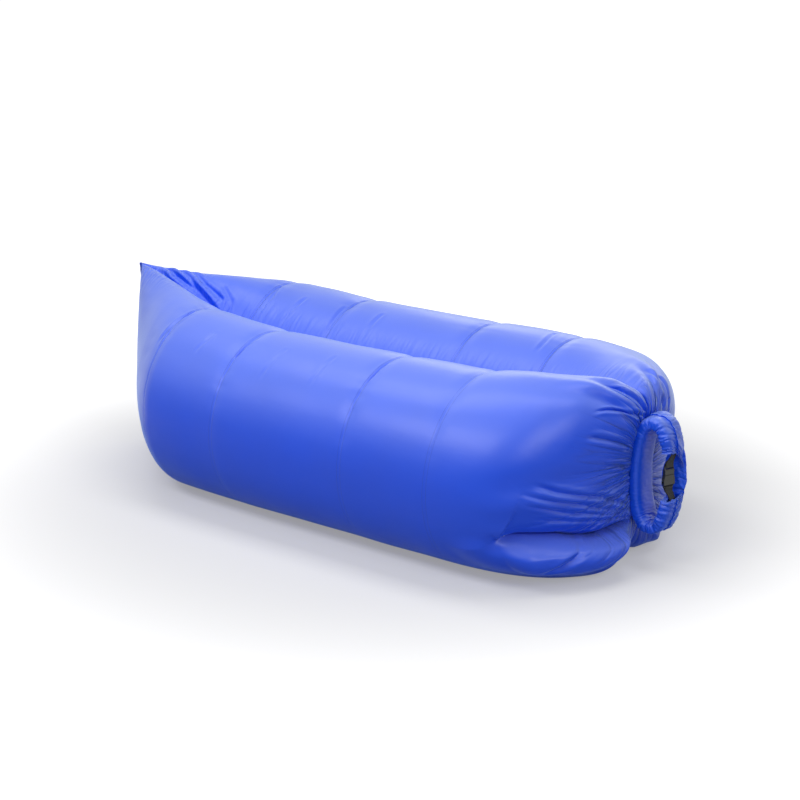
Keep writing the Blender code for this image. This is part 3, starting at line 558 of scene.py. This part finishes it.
# A panel's points, shaped from the plain surface, with their distances and arc lengths
def panelGrid(side, start, length, rows, columns):
    first, last = start + cover["gap"], start + length - cover["gap"]
    share = np.linspace(0.0, 1.0, rows + 1)
    if last > cover["length"] - 0.001:  # the foot panel runs to the mouth, with closer rows there
        last = cover["length"]
        share = share * (1.65 - 0.65 * share)
    ends = overSurface(np.array([first, last]))
    d = np.interp(ends[0] + (ends[1] - ends[0]) * share, tableM, tableD)[:, None]
    d[0], d[-1] = first, last
    share = np.linspace(1.0, -1.0, columns + 1)
    s = (share + 0.12 * np.sin(tau * share) / tau)[None, :]
    points, sine = tubeSurface(d, s + 0 * d, fullness=cover["fullness"][side])
    steps = np.linalg.norm(np.diff(points, axis=1), axis=2)
    arc = np.concatenate([np.zeros((rows + 1, 1)), np.cumsum(steps, axis=1)], axis=1)
    lift = liftOf(d, s + 0 * d, sine, side, arc[:, -1:] / 2)
    moved = points + outwardNormals(points)[0] * lift[..., None]
    moved[..., 1] = np.maximum(moved[..., 1], cover["edge"])
    moved[..., 2] = np.maximum(moved[..., 2], np.minimum(points[..., 2], 0.0002))
    moved[:, 0], moved[:, -1] = points[:, 0], points[:, -1]
    return moved, d, arc


# Panels: name, start, length, rows, columns
panels = (("head_panel", 0.0, 0.390, 96, 250), ("shoulder_panel", 0.390, 0.290, 60, 210),
          ("seat_panel", 0.680, 0.475, 84, 210), ("leg_panel", 1.155, 0.290, 60, 230),
          ("foot_panel", 1.445, 0.349, 200, 520))


def makePanel(label, side, entry, material):
    name, start, length, rows, columns = entry
    moved, d, arc = panelGrid(side, start, length, rows, columns)
    piece, row, column = gridFrom(label + "_cover_" + name, moved, side)
    away = d[:, 0] - start
    if name != "foot_panel":
        away = np.minimum(away, start + length - d[:, 0])
    setMap(piece, "UVMap", d[row, 0], arc[row, column])
    if name == "foot_panel":
        fromMouth = wholeM - overSurface(d[:, 0])
        setMap(piece, "FoldMap", fromMouth[row], (arc / arc[:, -1:])[row, column])
    setMap(piece, "SeamMap", away[row], arc[row, column])
    wallOf(piece, cover["wall"])
    finishPiece(piece, material, label + "_" + name, angle=75, distance=1e-7)


# Materials

def newMaterial(name):
    material = bpy.data.materials.new(name)
    material.use_nodes = True
    tree = material.node_tree
    shader = tree.nodes["Principled BSDF"]
    return material, tree, shader


# A socket takes a value, or a link from another node
def feed(tree, socket, value):
    if isinstance(value, bpy.types.NodeSocket):
        tree.links.new(value, socket)
    else:
        socket.default_value = value


def addNode(tree, kind, **values):
    node = tree.nodes.new(kind)
    for key, value in values.items():
        setattr(node, key, value)
    return node


def mathNode(tree, operation, first, second=0.5):
    node = addNode(tree, "ShaderNodeMath", operation=operation)
    feed(tree, node.inputs[0], first)
    feed(tree, node.inputs[1], second)
    return node.outputs[0]


def noiseNode(tree, place, scale, detail):
    node = tree.nodes.new("ShaderNodeTexNoise")
    for name, value in (("Vector", place), ("Scale", scale), ("Detail", detail)):
        feed(tree, node.inputs[name], value)
    return node.outputs[0]


def mixNode(tree, share, first, second):
    node = addNode(tree, "ShaderNodeMix", data_type="RGBA")
    feed(tree, node.inputs[0], share)
    for k, colour in ((6, first), (7, second)):
        feed(tree, node.inputs[k], (*colour, 1) if isinstance(colour, tuple) else colour)
    return node.outputs[2]


def rangeNode(tree, value, span, result, kind="LINEAR"):
    node = addNode(tree, "ShaderNodeMapRange", interpolation_type=kind)
    names = ("Value", "From Min", "From Max", "To Min", "To Max")
    for name, given in zip(names, (value, *span, *result)):
        feed(tree, node.inputs[name], given)
    return node.outputs[0]


def bumpNode(tree, height, strength, distance, below=None):
    node = tree.nodes.new("ShaderNodeBump")
    node.inputs["Strength"].default_value = strength
    node.inputs["Distance"].default_value = distance
    tree.links.new(height, node.inputs["Height"])
    if below:
        tree.links.new(below, node.inputs["Normal"])
    return node.outputs[0]


def partsOf(tree, vector):
    node = tree.nodes.new("ShaderNodeSeparateXYZ")
    tree.links.new(vector, node.inputs[0])
    return node.outputs


def mapNode(tree, name):
    return addNode(tree, "ShaderNodeUVMap", uv_map=name).outputs[0]


def objectPlace(tree):
    return tree.nodes.new("ShaderNodeTexCoord").outputs["Object"]


def tone(base, share):
    return tuple(v * share for v in base)


# A group whose inputs are numbers, or a map where no number is given
def groupWith(name, inputs, outputs):
    group = bpy.data.node_groups.new(name, "ShaderNodeTree")
    for label, value in inputs:
        kind = "NodeSocketVector" if value is None else "NodeSocketFloat"
        socket = group.interface.new_socket(name=label, in_out="INPUT", socket_type=kind)
        if value is not None:
            socket.default_value = value
    for label in outputs:
        group.interface.new_socket(name=label, in_out="OUTPUT", socket_type="NodeSocketFloat")
    return group, group.nodes.new("NodeGroupInput").outputs, group.nodes.new("NodeGroupOutput").inputs


def useGroup(tree, group, **values):
    node = addNode(tree, "ShaderNodeGroup", node_tree=group)
    for key, value in values.items():
        feed(tree, node.inputs[key], value)
    return node.outputs


# Plain weave: threads over and under, as a height
def weaveGroup():
    group, given, made = groupWith("plainWeave", [("Map", None), ("Density", 1500.0)], ["Height"])
    parts = partsOf(group, given["Map"])
    waves = []
    for axis in (0, 1):
        turn = mathNode(group, "MULTIPLY", parts[axis], given["Density"])
        waves.append(mathNode(group, "SINE", mathNode(group, "MULTIPLY", turn, math.pi)))
    over = mathNode(group, "ABSOLUTE", mathNode(group, "MULTIPLY", waves[0], waves[1]))
    group.links.new(over, made["Height"])
    return group


# A row of stitches along a seam, as a mask
def stitchGroup():
    inputs = [("Away", 0.0), ("Along", 0.0), ("Place", 0.006), ("Length", 0.0032)]
    group, given, made = groupWith("stitchRow", inputs, ["Mask"])
    off = mathNode(group, "ABSOLUTE", mathNode(group, "SUBTRACT", given["Away"], given["Place"]))
    beat = mathNode(group, "FRACT", mathNode(group, "DIVIDE", given["Along"], given["Length"]))
    line = mathNode(group, "LESS_THAN", off, 0.00045)
    dash = mathNode(group, "LESS_THAN", beat, 0.72)
    group.links.new(mathNode(group, "MULTIPLY", line, dash), made["Mask"])
    return group


# Ridges of a stretched noise, as a height from 0 in the valleys to 1
def ridges(tree, parts, scales, seed, detail, sharp):
    stretched = tree.nodes.new("ShaderNodeCombineXYZ")
    for k in (0, 1):
        feed(tree, stretched.inputs[k], mathNode(tree, "MULTIPLY", parts[k], scales[k]))
    stretched.inputs[2].default_value = seed
    fold = mathNode(tree, "SUBTRACT", noiseNode(tree, stretched.outputs[0], 1.0, detail), 0.5)
    fold = mathNode(tree, "ABSOLUTE", mathNode(tree, "MULTIPLY", fold, 4.0))
    return mathNode(tree, "POWER", mathNode(tree, "MINIMUM", fold, 1.0), sharp)


# Sharp folds that run in to a gathered mouth, as a height that fades away from it, and a mask
# of their valleys that carries painted shade
def gatherGroup():
    group, given, made = groupWith("gatherFolds", [("Map", None), ("Reach", 0.30)], ["Height", "PaintedCreaseShade"])
    parts = partsOf(group, given["Map"])
    wide = ridges(group, parts, (2.4, 17.0), 3.1, 1.0, 0.6)
    narrow = mathNode(group, "MULTIPLY", ridges(group, parts, (2.4, 41.0), 7.7, 1.0, 0.6), 0.45)
    total = mathNode(group, "ADD", wide, narrow)
    near = rangeNode(group, parts[0], (0.0, given["Reach"]), (1.0, 0.0), "SMOOTHSTEP")
    deep = rangeNode(group, total, (0.0, 0.62), (1.0, 0.0), "SMOOTHSTEP")
    group.links.new(mathNode(group, "MULTIPLY", total, near), made["Height"])
    group.links.new(mathNode(group, "MULTIPLY", deep, near), made["PaintedCreaseShade"])
    return group


# Short puckers that cross the seam of the trough
def puckerGroup():
    group, given, made = groupWith("troughPuckers", [("Map", None), ("Width", 0.17)], ["Height"])
    parts = partsOf(group, given["Map"])
    fold = ridges(group, parts, (44.0, 5.0), 0.0, 1.5, 0.7)
    near = rangeNode(group, parts[1], (0.0, given["Width"]), (1.0, 0.0), "SMOOTHSTEP")
    group.links.new(mathNode(group, "MULTIPLY", fold, near), made["Height"])
    return group


weave = weaveGroup()
stitchRow = stitchGroup()
gatherFolds = gatherGroup()
troughPuckers = puckerGroup()

# Satin nylon: each bump is its strength and height, each span is in terms of the normal's rise, and pale is the
# colour of the painted sheen
satin = {"tones": (0.90, 1.08), "pale": (0.70, 0.86, 1.0), "paintedSheenShare": (0.15, 0.075), "paintedSheenSpan": (0.06, 0.72),
         "dullSpan": (-0.60, 0.20), "dull": 0.30, "crumple": (0.16, 0.0016), "pucker": (1.0, 0.0035),
         "fold": (1.0, 0.0085), "weave": (0.12, 0.00006), "stitch": (0.6, 0.0003),
         "sheen": 0.40, "sheenRoughness": 0.30, "sheenTint": (0.45, 0.72, 1.0, 1), "specular": 0.42}


def nylonMaterial(name, base, seams=True, roughness=0.35, gathered=False):
    material, tree, shader = newMaterial(name)
    patches = noiseNode(tree, objectPlace(tree), 5.0, 3.0)
    colour = mixNode(tree, patches, tone(base, satin["tones"][0]), tone(base, satin["tones"][1]))
    upwards = partsOf(tree, tree.nodes.new("ShaderNodeNewGeometry").outputs["Normal"])[2]
    # Painted sheen: upper faces are painted paler, most where they are seen at a low angle, as satin cloth
    # looks in light from above
    facing = tree.nodes.new("ShaderNodeLayerWeight").outputs["Facing"]
    paintedSheen = mathNode(tree, "MULTIPLY", facing, satin["paintedSheenShare"][0])
    paintedSheen = mathNode(tree, "ADD", paintedSheen, satin["paintedSheenShare"][1])
    upper = rangeNode(tree, upwards, satin["paintedSheenSpan"], (0.0, 1.0), "SMOOTHSTEP")
    colour = mixNode(tree, mathNode(tree, "MULTIPLY", paintedSheen, upper), colour, satin["pale"])
    chart = mapNode(tree, "UVMap")
    stretched = tree.nodes.new("ShaderNodeMapping")
    stretched.inputs["Scale"].default_value = (14, 60, 1)
    tree.links.new(chart, stretched.inputs["Vector"])
    normal = bumpNode(tree, noiseNode(tree, stretched.outputs[0], 1.0, 3.0), *satin["crumple"])
    normal = bumpNode(tree, useGroup(tree, troughPuckers, Map=chart)[0], *satin["pucker"], normal)
    if gathered:
        folds = useGroup(tree, gatherFolds, Map=mapNode(tree, "FoldMap"))
        normal = bumpNode(tree, folds[0], *satin["fold"], normal)
        # Painted shade: the fold valleys are painted darker
        colour = mixNode(tree, mathNode(tree, "MULTIPLY", folds[1], 0.70), colour, tone(base, 0.30))
    normal = bumpNode(tree, useGroup(tree, weave, Map=chart)[0], *satin["weave"], normal)
    if seams:
        parts = partsOf(tree, mapNode(tree, "SeamMap"))
        row = useGroup(tree, stitchRow, Away=parts[0], Along=parts[1])[0]
        colour = mixNode(tree, row, colour, tone(base, 0.55))
        normal = bumpNode(tree, row, *satin["stitch"], normal)
    # The undersides are duller, so that they keep a deep blue over a pale floor
    gloss = rangeNode(tree, patches, (0.0, 1.0), (roughness - 0.04, roughness + 0.06))
    dull = rangeNode(tree, upwards, satin["dullSpan"], (satin["dull"], 0.0), "SMOOTHSTEP")
    tree.links.new(colour, shader.inputs["Base Color"])
    tree.links.new(normal, shader.inputs["Normal"])
    tree.links.new(mathNode(tree, "ADD", gloss, dull), shader.inputs["Roughness"])
    # Plain values, because the export drops these sockets when they are linked
    shader.inputs["Sheen Weight"].default_value = satin["sheen"]
    shader.inputs["Sheen Roughness"].default_value = satin["sheenRoughness"]
    shader.inputs["Sheen Tint"].default_value = satin["sheenTint"]
    shader.inputs["Specular IOR Level"].default_value = satin["specular"]
    return material


def webbingMaterial(name, base):
    material, tree, shader = newMaterial(name)
    threads = useGroup(tree, weave, Map=mapNode(tree, "UVMap"), Density=620.0)[0]
    tree.links.new(mixNode(tree, threads, tone(base, 0.45), tone(base, 1.5)), shader.inputs["Base Color"])
    tree.links.new(bumpNode(tree, threads, 0.8, 0.0004), shader.inputs["Normal"])
    shader.inputs["Roughness"].default_value = 0.72
    return material


def plasticMaterial(name, base, roughness):
    material, tree, shader = newMaterial(name)
    place = objectPlace(tree)
    grain = noiseNode(tree, place, 1400.0, 2.0)
    wear = noiseNode(tree, place, 90.0, 4.0)
    gloss = rangeNode(tree, wear, (0.0, 1.0), (roughness - 0.08, roughness + 0.10))
    tree.links.new(mixNode(tree, wear, tone(base, 0.8), tone(base, 1.5)), shader.inputs["Base Color"])
    tree.links.new(gloss, shader.inputs["Roughness"])
    tree.links.new(bumpNode(tree, grain, 0.25, 0.0001), shader.inputs["Normal"])
    return material


def filmMaterial(name, dark, light):
    material, tree, shader = newMaterial(name)
    crinkle = noiseNode(tree, mapNode(tree, "UVMap"), 60.0, 4.0)
    tree.links.new(mixNode(tree, crinkle, dark, light), shader.inputs["Base Color"])
    tree.links.new(bumpNode(tree, crinkle, 0.5, 0.002), shader.inputs["Normal"])
    shader.inputs["Roughness"].default_value = 0.2
    return material


royal = (0.003, 0.070, 0.760)
nylon = nylonMaterial("royalNylon", royal)
gatheredNylon = nylonMaterial("gatheredNylon", royal, gathered=True)
mouthNylon = nylonMaterial("mouthNylon", (0.003, 0.078, 0.740))
tape = nylonMaterial("bindingTape", (0.006, 0.055, 0.560), roughness=0.5)
lining = nylonMaterial("liningNylon", (0.010, 0.045, 0.460), seams=False, roughness=0.55)
strapCloth = webbingMaterial("blackWebbing", (0.030, 0.030, 0.024))
acetal = plasticMaterial("blackPlastic", (0.018, 0.019, 0.014), 0.36)
stripPlastic = plasticMaterial("battenPlastic", (0.020, 0.020, 0.022), 0.45)
film = filmMaterial("clearFilm", (0.66, 0.68, 0.70), (0.82, 0.84, 0.86))


# Rolled mouth

roll = {"turns": 3.0, "pitch": 0.00415, "layer": 0.0036, "square": 0.52, "rows": 230, "steps": 144,
        "fine": 0.0032, "coarse": 0.0018, "welt": 0.0016, "weltPlace": 0.044, "core": 0.014,
        "drop": 0.028, "rise": 0.044, "slant": 0.018, "ragged": 0.0025}


def rollTurns(count):
    start = loopTurnAt(loop["upperEnd"])
    end = loopTurnAt(loop["lowerEnd"]) + tau
    turns = np.linspace(start, end, 4001)
    travelled = runOf(pointsOf(*loopPoint(turns, 0.0)))
    return np.interp(np.linspace(0, travelled[-1], count + 1), travelled, turns), travelled[-1]


# Place across and outwards at an angle round the roll's squarish section
def sectionAt(angle, less=0.0):
    across = (loop["wide"] / 2 - less) * squarish(np.sin(angle), roll["square"])
    return across, (loop["thick"] / 2 - less) * squarish(np.cos(angle), roll["square"])


# Angles that are evenly spread over the section
def evenAngles(turns, steps):
    angles = np.linspace(0, tau, 4001)
    run = runOf(pointsOf(*sectionAt(angles)))
    places = np.linspace(0, turns, steps + 1)
    whole = np.floor(places)
    return tau * whole + np.interp((places - whole) * run[-1], run, angles)


def rollPoint(turn, share, angle, depth):
    y, out = sectionAt(angle, roll["pitch"] * angle / tau + depth)
    # Wrinkles across the roll: deeper at the bends and the two ends
    bends = np.exp(-((np.abs(np.sin(turn)) - 1) / 0.12) ** 2)
    ends = ease(1 - share / 0.16) + ease(1 - (1 - share) / 0.20)
    strength = 0.40 + 1.30 * bends + 2.00 * ends
    phase = 46 * share + 0.55 * smoothNoise(share * 40, y * 60 + np.sign(out) * 2, 5)
    phase = phase + 4.0 * y * np.sign(out) * 6
    index = np.round(phase)
    near = np.clip(1 - 2 * np.abs(phase - index), 0, 1) ** 1.5
    fine = (0.3 + 0.7 * hashed(index, 3)) * near
    coarse = 0.5 + 0.5 * np.sin(tau * 9 * share + 2.5 * smoothNoise(share * 12, y * 30, 8))
    sink = strength * (roll["fine"] * fine + roll["coarse"] * coarse)
    welt = (np.sin(angle) < 0) & (angle < tau) & (out < 0)
    sink = sink - roll["welt"] * welt * np.exp(-((np.abs(y) - roll["weltPlace"]) / 0.0022) ** 2)
    size = np.sqrt(y * y + out * out) + 1e-9
    keep = 1 - sink / np.maximum(size, 0.012)
    y, out = y * keep, out * keep
    x, z = loopPoint(turn, out)
    # The outer layers slide down at the two ends of the roll, most on the far side
    layerShare = np.clip((out - (loop["thick"] / 2 - roll["core"])) / roll["core"], 0, 1)
    upper, lower = ease(1 - share / 0.14), ease(1 - (1 - share) / 0.14)
    across = y / (loop["wide"] / 2)
    far = ease(across * 0.9 + 0.35)
    z = z + layerShare * far * (lower * roll["drop"] - upper * roll["rise"])
    z = z - upper * roll["slant"] * across * (0.5 + 0.5 * layerShare)
    ragged = roll["ragged"] * smoothNoise(across * 5, layerShare * 3, 21)
    return pointsOf(x - middle, y, z + (upper + lower) * ragged)


def makeRoll():
    turns, length = rollTurns(roll["rows"])
    share = np.linspace(0, 1, roll["rows"] + 1)
    angles = evenAngles(roll["turns"], roll["steps"])
    ring = np.concatenate([angles, angles[::-1], angles[:1]])
    depth = np.concatenate([0 * angles, 0 * angles + roll["layer"], [0.0]])
    turns, share = capped(turns)[:, None], capped(share)[:, None]
    depths = np.repeat(depth[None, :], len(turns), axis=0)
    depths[0] = depths[-1] = roll["layer"] / 2
    points = rollPoint(turns, share, ring[None, :], depths)
    piece, row, column = gridFrom("rolled_mouth_cloth", points)
    wide = 2 * (loop["wide"] + loop["thick"]) * 0.9
    setMap(piece, "UVMap", share[row, 0] * length, ring[column] / tau * wide)
    fromEnd = (np.minimum(share, 1 - share) * length)[row, 0]
    fromEdge = (np.abs(ring) / tau * wide)[column]
    setMap(piece, "SeamMap", np.minimum(fromEnd, fromEdge), share[row, 0] * length + fromEdge)
    finishPiece(piece, mouthNylon, "rolled_mouth", distance=1e-7)


# The tongue of cloth that closes the roll beside the buckle, on its far side
tab = {"rows": 60, "steps": 64, "length": 0.172, "drop": 0.030, "place": 0.034, "thick": 0.0050,
       "edge": 0.011, "belly": 0.026, "inwards": 0.016}


def makeTab():
    share = np.linspace(0, 1, tab["rows"] + 1)[:, None]
    ring = np.linspace(0, tau, tab["steps"] + 1)[None, :]
    belly = np.sin(math.pi * share) ** 0.8
    width = tab["edge"] + tab["belly"] * belly + 0.0012 * np.sin(share * 17)
    thick = tab["thick"] * (0.5 + 0.6 * belly)
    closeUp = np.clip(np.minimum(share, 1 - share) / 0.03, 0, 1) ** 0.5
    across = width * closeUp * squarish(np.cos(ring), 0.8)
    wrinkle = 0.0016 * smoothNoise(share * 16, across * 160, 14)
    wrinkle = wrinkle + 0.0010 * smoothNoise(share * 30, across * 320, 15)
    y = tab["place"] + thick * closeUp * np.sin(ring) + wrinkle * closeUp
    z = loop["lowerEnd"] - tab["drop"] + share * tab["length"] + 0.004 * np.sin(across * 90)
    heights = np.linspace(0.12, 0.40, 200)
    turn = np.interp(z, heights, [loopTurnAt(h) for h in heights])
    x = loopPoint(turn, 0.0)[0] - tab["inwards"] * belly + across - middle
    piece, row, column = gridFrom("mouth_tab", pointsOf(x, y, z))
    setMap(piece, "UVMap", share[row, 0] * 0.17, across[row, column])
    setMap(piece, "SeamMap", 0.03 + 0 * share[row, 0], across[row, column])
    finishPiece(piece, mouthNylon, "rolled_mouth", distance=1e-7)


# Webbing straps, each round a bar of the buckle and back into the roll
strap = {"width": 0.0244, "thick": 0.0012, "pair": 0.00075, "depth": 0.0044, "length": 0.00365,
         "inside": 0.028, "outwards": 0.0026, "steps": 150}


def makeStrap(name, node, bar, end, upwards):
    pair, depth, length = strap["pair"], strap["depth"], upwards * strap["length"]
    path = [(height, pair, 0.0) for height in np.linspace(end + upwards * strap["inside"], end, 6)]
    for share, apart, turned in ((0.80, 1.2, 0.2), (0.55, 1.6, 0.5), (0.35, 2.4, 0.85)):
        path.append((bar + (end - bar) * share, pair * apart, turned))
    path.append((bar + length, depth * 0.9, 1.0))
    for angle in np.linspace(0.0, math.pi / 2, 7):
        path.append((bar - length * math.sin(angle) ** 0.7, depth * math.cos(angle) ** 0.7, 1.0))
    there = [(height, -side, share) for height, side, share in path]
    centres, widths = [], []
    for height, side, share in there + path[-2::-1]:
        turn = buckle["turn"] * share
        within = max(height * upwards, end * upwards) * upwards
        atTurn = loopTurnAt(within, strap["outwards"])
        coreX = float(loopPoint(atTurn, strap["outwards"])[0]) - middle
        x = coreX + (buckle["x"] - coreX) * share
        centres.append((x + math.cos(turn) * side, math.sin(turn) * side, height))
        widths.append((-math.sin(turn), math.cos(turn), 0.0))
    centres, widths = np.array(centres), np.array(widths)
    stretch = runOf(centres)
    places = np.linspace(0, stretch[-1], strap["steps"] + 1)
    centres = np.stack([np.interp(places, stretch, centres[:, k]) for k in range(3)], axis=1)
    widths = np.stack([np.interp(places, stretch, widths[:, k]) for k in range(3)], axis=1)
    for _ in range(2):
        centres[1:-1] = (centres[:-2] + 2 * centres[1:-1] + centres[2:]) / 4
    across = np.linspace(-0.5, 0.5, 17) * strap["width"]
    points = centres[:, None] + widths[:, None] * across[None, :, None]
    piece, row, column = gridFrom(name, points)
    setMap(piece, "UVMap", places[row], across[column])
    wallOf(piece, strap["thick"], offset=0.0)
    finishPiece(piece, strapCloth, node, angle=50, rides=False)
    return piece, float(stretch[-1])


def makeBinding():
    rows, steps = 200, 28
    sizes = [float(v[0]) for v in sectionSizes(np.array([cover["gap"]]))]
    levels = capped(np.linspace(1.0, -1.0, rows + 1))[:, None]
    ring = np.linspace(0, tau, steps + 1)[None, :]
    grow = np.ones_like(levels)
    grow[0] = grow[-1] = 0.02
    height = np.maximum(sizes[3] + sizes[2] * levels, sizes[4])
    wave = 0.0004 * smoothNoise(levels * 30, 0 * levels, 9)
    back = (0.5 - 0.5 * np.cos(ring)) ** 0.85
    across = 0.0045 * np.sin(ring) * (1 - 0.25 * back)
    x = headLean(0.0, levels) - 0.0014 - middle - 0.0080 * back * grow
    lips = 0.0006 * np.sin(height * 260 + np.sign(across) * 1.3)
    points = pointsOf(x, across * grow + wave + lips * grow, height)
    piece, row, column = gridFrom("head_end_tape", points)
    run = ((1 - levels) / 2 * 0.57)[row, 0]
    setMap(piece, "UVMap", run, (ring[0] * 0.004)[column])
    setMap(piece, "SeamMap", (0.008 * (1 - back[0]))[column], run)
    finishPiece(piece, tape, "head_end_binding", distance=2e-5)


def makeDivider():
    rows, steps = 180, 24
    d = np.linspace(0.0006, cover["length"] - 0.0006, rows + 1)[:, None]
    halfHeight, centre = sectionSizes(d)[2:4]
    top = tubeSurface(d, np.ones_like(d))[0][..., 2]
    low = tubeSurface(d, -np.ones_like(d))[0][..., 2]
    z = top + (low - top) * np.linspace(0, 1, steps + 1)[None, :]
    x = d + headLean(d, (z - centre) / halfHeight) + neckWrap(d, z) - middle
    piece, row, column = gridFrom("divider_cloth", pointsOf(x, 0.0004, z))
    setMap(piece, "UVMap", d[row, 0], z[row, column])
    wallOf(piece, cover["wall"])
    finishPiece(piece, lining, "centre_divider", angle=40)


def makeLiner(label, side):
    rows, arcSteps, steps = 90, 96, 120
    d = np.linspace(0.120, cover["length"] - 0.160, rows + 1)[:, None]
    s = np.linspace(1.0, -1.0, arcSteps + 1)[None, :]
    arc = tubeSurface(d, s + 0 * d, inset=0.014 + 0.022 * ease((d - 1.20) / 0.35))[0]
    foot = sectionSizes(d)[4] + 0.0012
    arc[..., 2] = np.maximum(arc[..., 2], foot)
    share = (np.arange(1, steps - arcSteps + 1) / (steps - arcSteps))[None, :, None]
    ring = np.concatenate([arc, arc[:, -1:] + (arc[:, :1] - arc[:, -1:]) * share], axis=1)
    centre = ring[:, :-1].mean(axis=1, keepdims=True)
    crinkle = 0.0025 * (smoothNoise(d * 40, np.arange(steps + 1)[None, :] * 0.22, 31) - 1.6)
    crinkle[:, 0] = crinkle[:, -1]
    away = ring - centre
    away /= np.linalg.norm(away, axis=2, keepdims=True)
    ring = ring + away * crinkle[..., None]
    ring[..., 1] = np.maximum(ring[..., 1], cover["edge"])
    ring[..., 2] = np.maximum(ring[..., 2], foot)
    ring[:, -1] = ring[:, 0]
    ends = [np.repeat(centre[k:k + 1], steps + 1, axis=1) for k in (0, rows)]
    piece, row, column = gridFrom(label + "_film_bag", np.concatenate([ends[0], ring, ends[1]]), side)
    setMap(piece, "UVMap", row * 0.018, column * 0.011)
    finishPiece(piece, film, label + "_air_liner", distance=1e-6)


for label, side in (("front", -1), ("back", 1)):
    simulated[side] = simulateTube(side)
    for entry in panels:
        makePanel(label, side, entry, gatheredNylon if entry[0] == "foot_panel" else nylon)
    makeLiner(label, side)
print("covers and liners made")
makeRoll()
makeTab()
print("mouth made")
lowerStrap, lowerLength = makeStrap("lower_strap", "lower_webbing", buckle["lowerBar"], loop["lowerEnd"], -1)
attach(lowerStrap, "lounger")
upperStrap, upperLength = makeStrap("upper_strap", "upper_webbing", buckle["upperBar"], loop["upperEnd"], 1)
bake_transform(upperStrap)
makeBinding()
makeDivider()
print("tapes, straps and divider made")

for material, names in ((acetal, ("buckle_socket", "buckle_plug", "front_latch_arm", "back_latch_arm")),
                        (stripPlastic, ("outer_batten", "inner_batten"))):
    for name in names:
        for place in nodes[name].material_slots:
            place.material = material


# Floor, light and camera

# Rays that see the backdrop as plain white
def whiteRays(tree):
    path = tree.nodes.new("ShaderNodeLightPath")
    seen = mathNode(tree, "MAXIMUM", path.outputs["Is Camera Ray"], path.outputs["Is Glossy Ray"])
    return mathNode(tree, "MAXIMUM", seen, path.outputs["Is Transmission Ray"])


def makeFloor():
    bpy.ops.mesh.primitive_plane_add(size=60, location=(0, 0, -0.0008))
    floor = bpy.context.active_object
    floor.name = "floor"
    material, tree, shader = newMaterial("paleFloor")
    shader.inputs["Base Color"].default_value = (0.50, 0.50, 0.50, 1)
    shader.inputs["Roughness"].default_value = 0.9
    shader.inputs["Specular IOR Level"].default_value = 0.0
    away = addNode(tree, "ShaderNodeVectorMath", operation="LENGTH")
    tree.links.new(objectPlace(tree), away.inputs[0])
    level = rangeNode(tree, away.outputs["Value"], (0.5, 2.2), (0.30, 0.95), "SMOOTHERSTEP")
    shade = mathNode(tree, "MULTIPLY", whiteRays(tree), level)
    tree.links.new(shade, shader.inputs["Emission Strength"])
    shader.inputs["Emission Color"].default_value = (1, 1, 1, 1)
    floor.data.materials.append(material)


def makeLight(name, size, energy, place, target):
    light = bpy.data.lights.new(name, "AREA")
    light.shape = "RECTANGLE"
    light.size, light.size_y = size
    light.energy = energy
    lamp = bpy.data.objects.new(name, light)
    bpy.context.scene.collection.objects.link(lamp)
    lamp.location = place
    lamp.rotation_euler = (Vector(target) - Vector(place)).to_track_quat("-Z", "Y").to_euler()
    lamp.visible_camera = False


makeFloor()
makeLight("overhead", (3.6, 0.9), 35, (0.0, -0.2, 2.6), (0, 0, 0.3))
makeLight("key", (3.2, 0.9), 48, (-0.3, -2.3, 2.5), (-0.05, 0, 0.3))
makeLight("far", (3.4, 0.8), 21, (-0.6, 3.4, 1.7), (0, 0, 0.4))
makeLight("foot", (1.0, 0.8), 15, (2.7, -1.3, 1.7), (0.7, -0.1, 0.3))

world = bpy.data.worlds.new("paleWorld")
bpy.context.scene.world = world
world.use_nodes = True
tree = world.node_tree
backdrop = tree.nodes["Background"]
backdrop.inputs[0].default_value = (1, 1, 1, 1)
tree.links.new(rangeNode(tree, whiteRays(tree), (0.0, 1.0), (0.22, 1.0)), backdrop.inputs[1])

scene = bpy.context.scene
scene.view_settings.view_transform = "Standard"
view = {"azimuth": math.radians(37.0), "elevation": math.radians(17.6), "range": 5.6, "lens": 85.2}
target = Vector((1.0 - middle, 0.0, 0.318))
level = math.cos(view["elevation"])
back = Vector((math.sin(view["azimuth"]) * level, -math.cos(view["azimuth"]) * level,
               math.sin(view["elevation"])))
lens = bpy.data.cameras.new("camera")
lens.lens = view["lens"]
lens.sensor_width = 36.0
camera = bpy.data.objects.new("camera", lens)
scene.collection.objects.link(camera)
camera.location = target + back * view["range"]
camera.rotation_euler = (-back).to_track_quat("-Z", "Y").to_euler()
scene.camera = camera
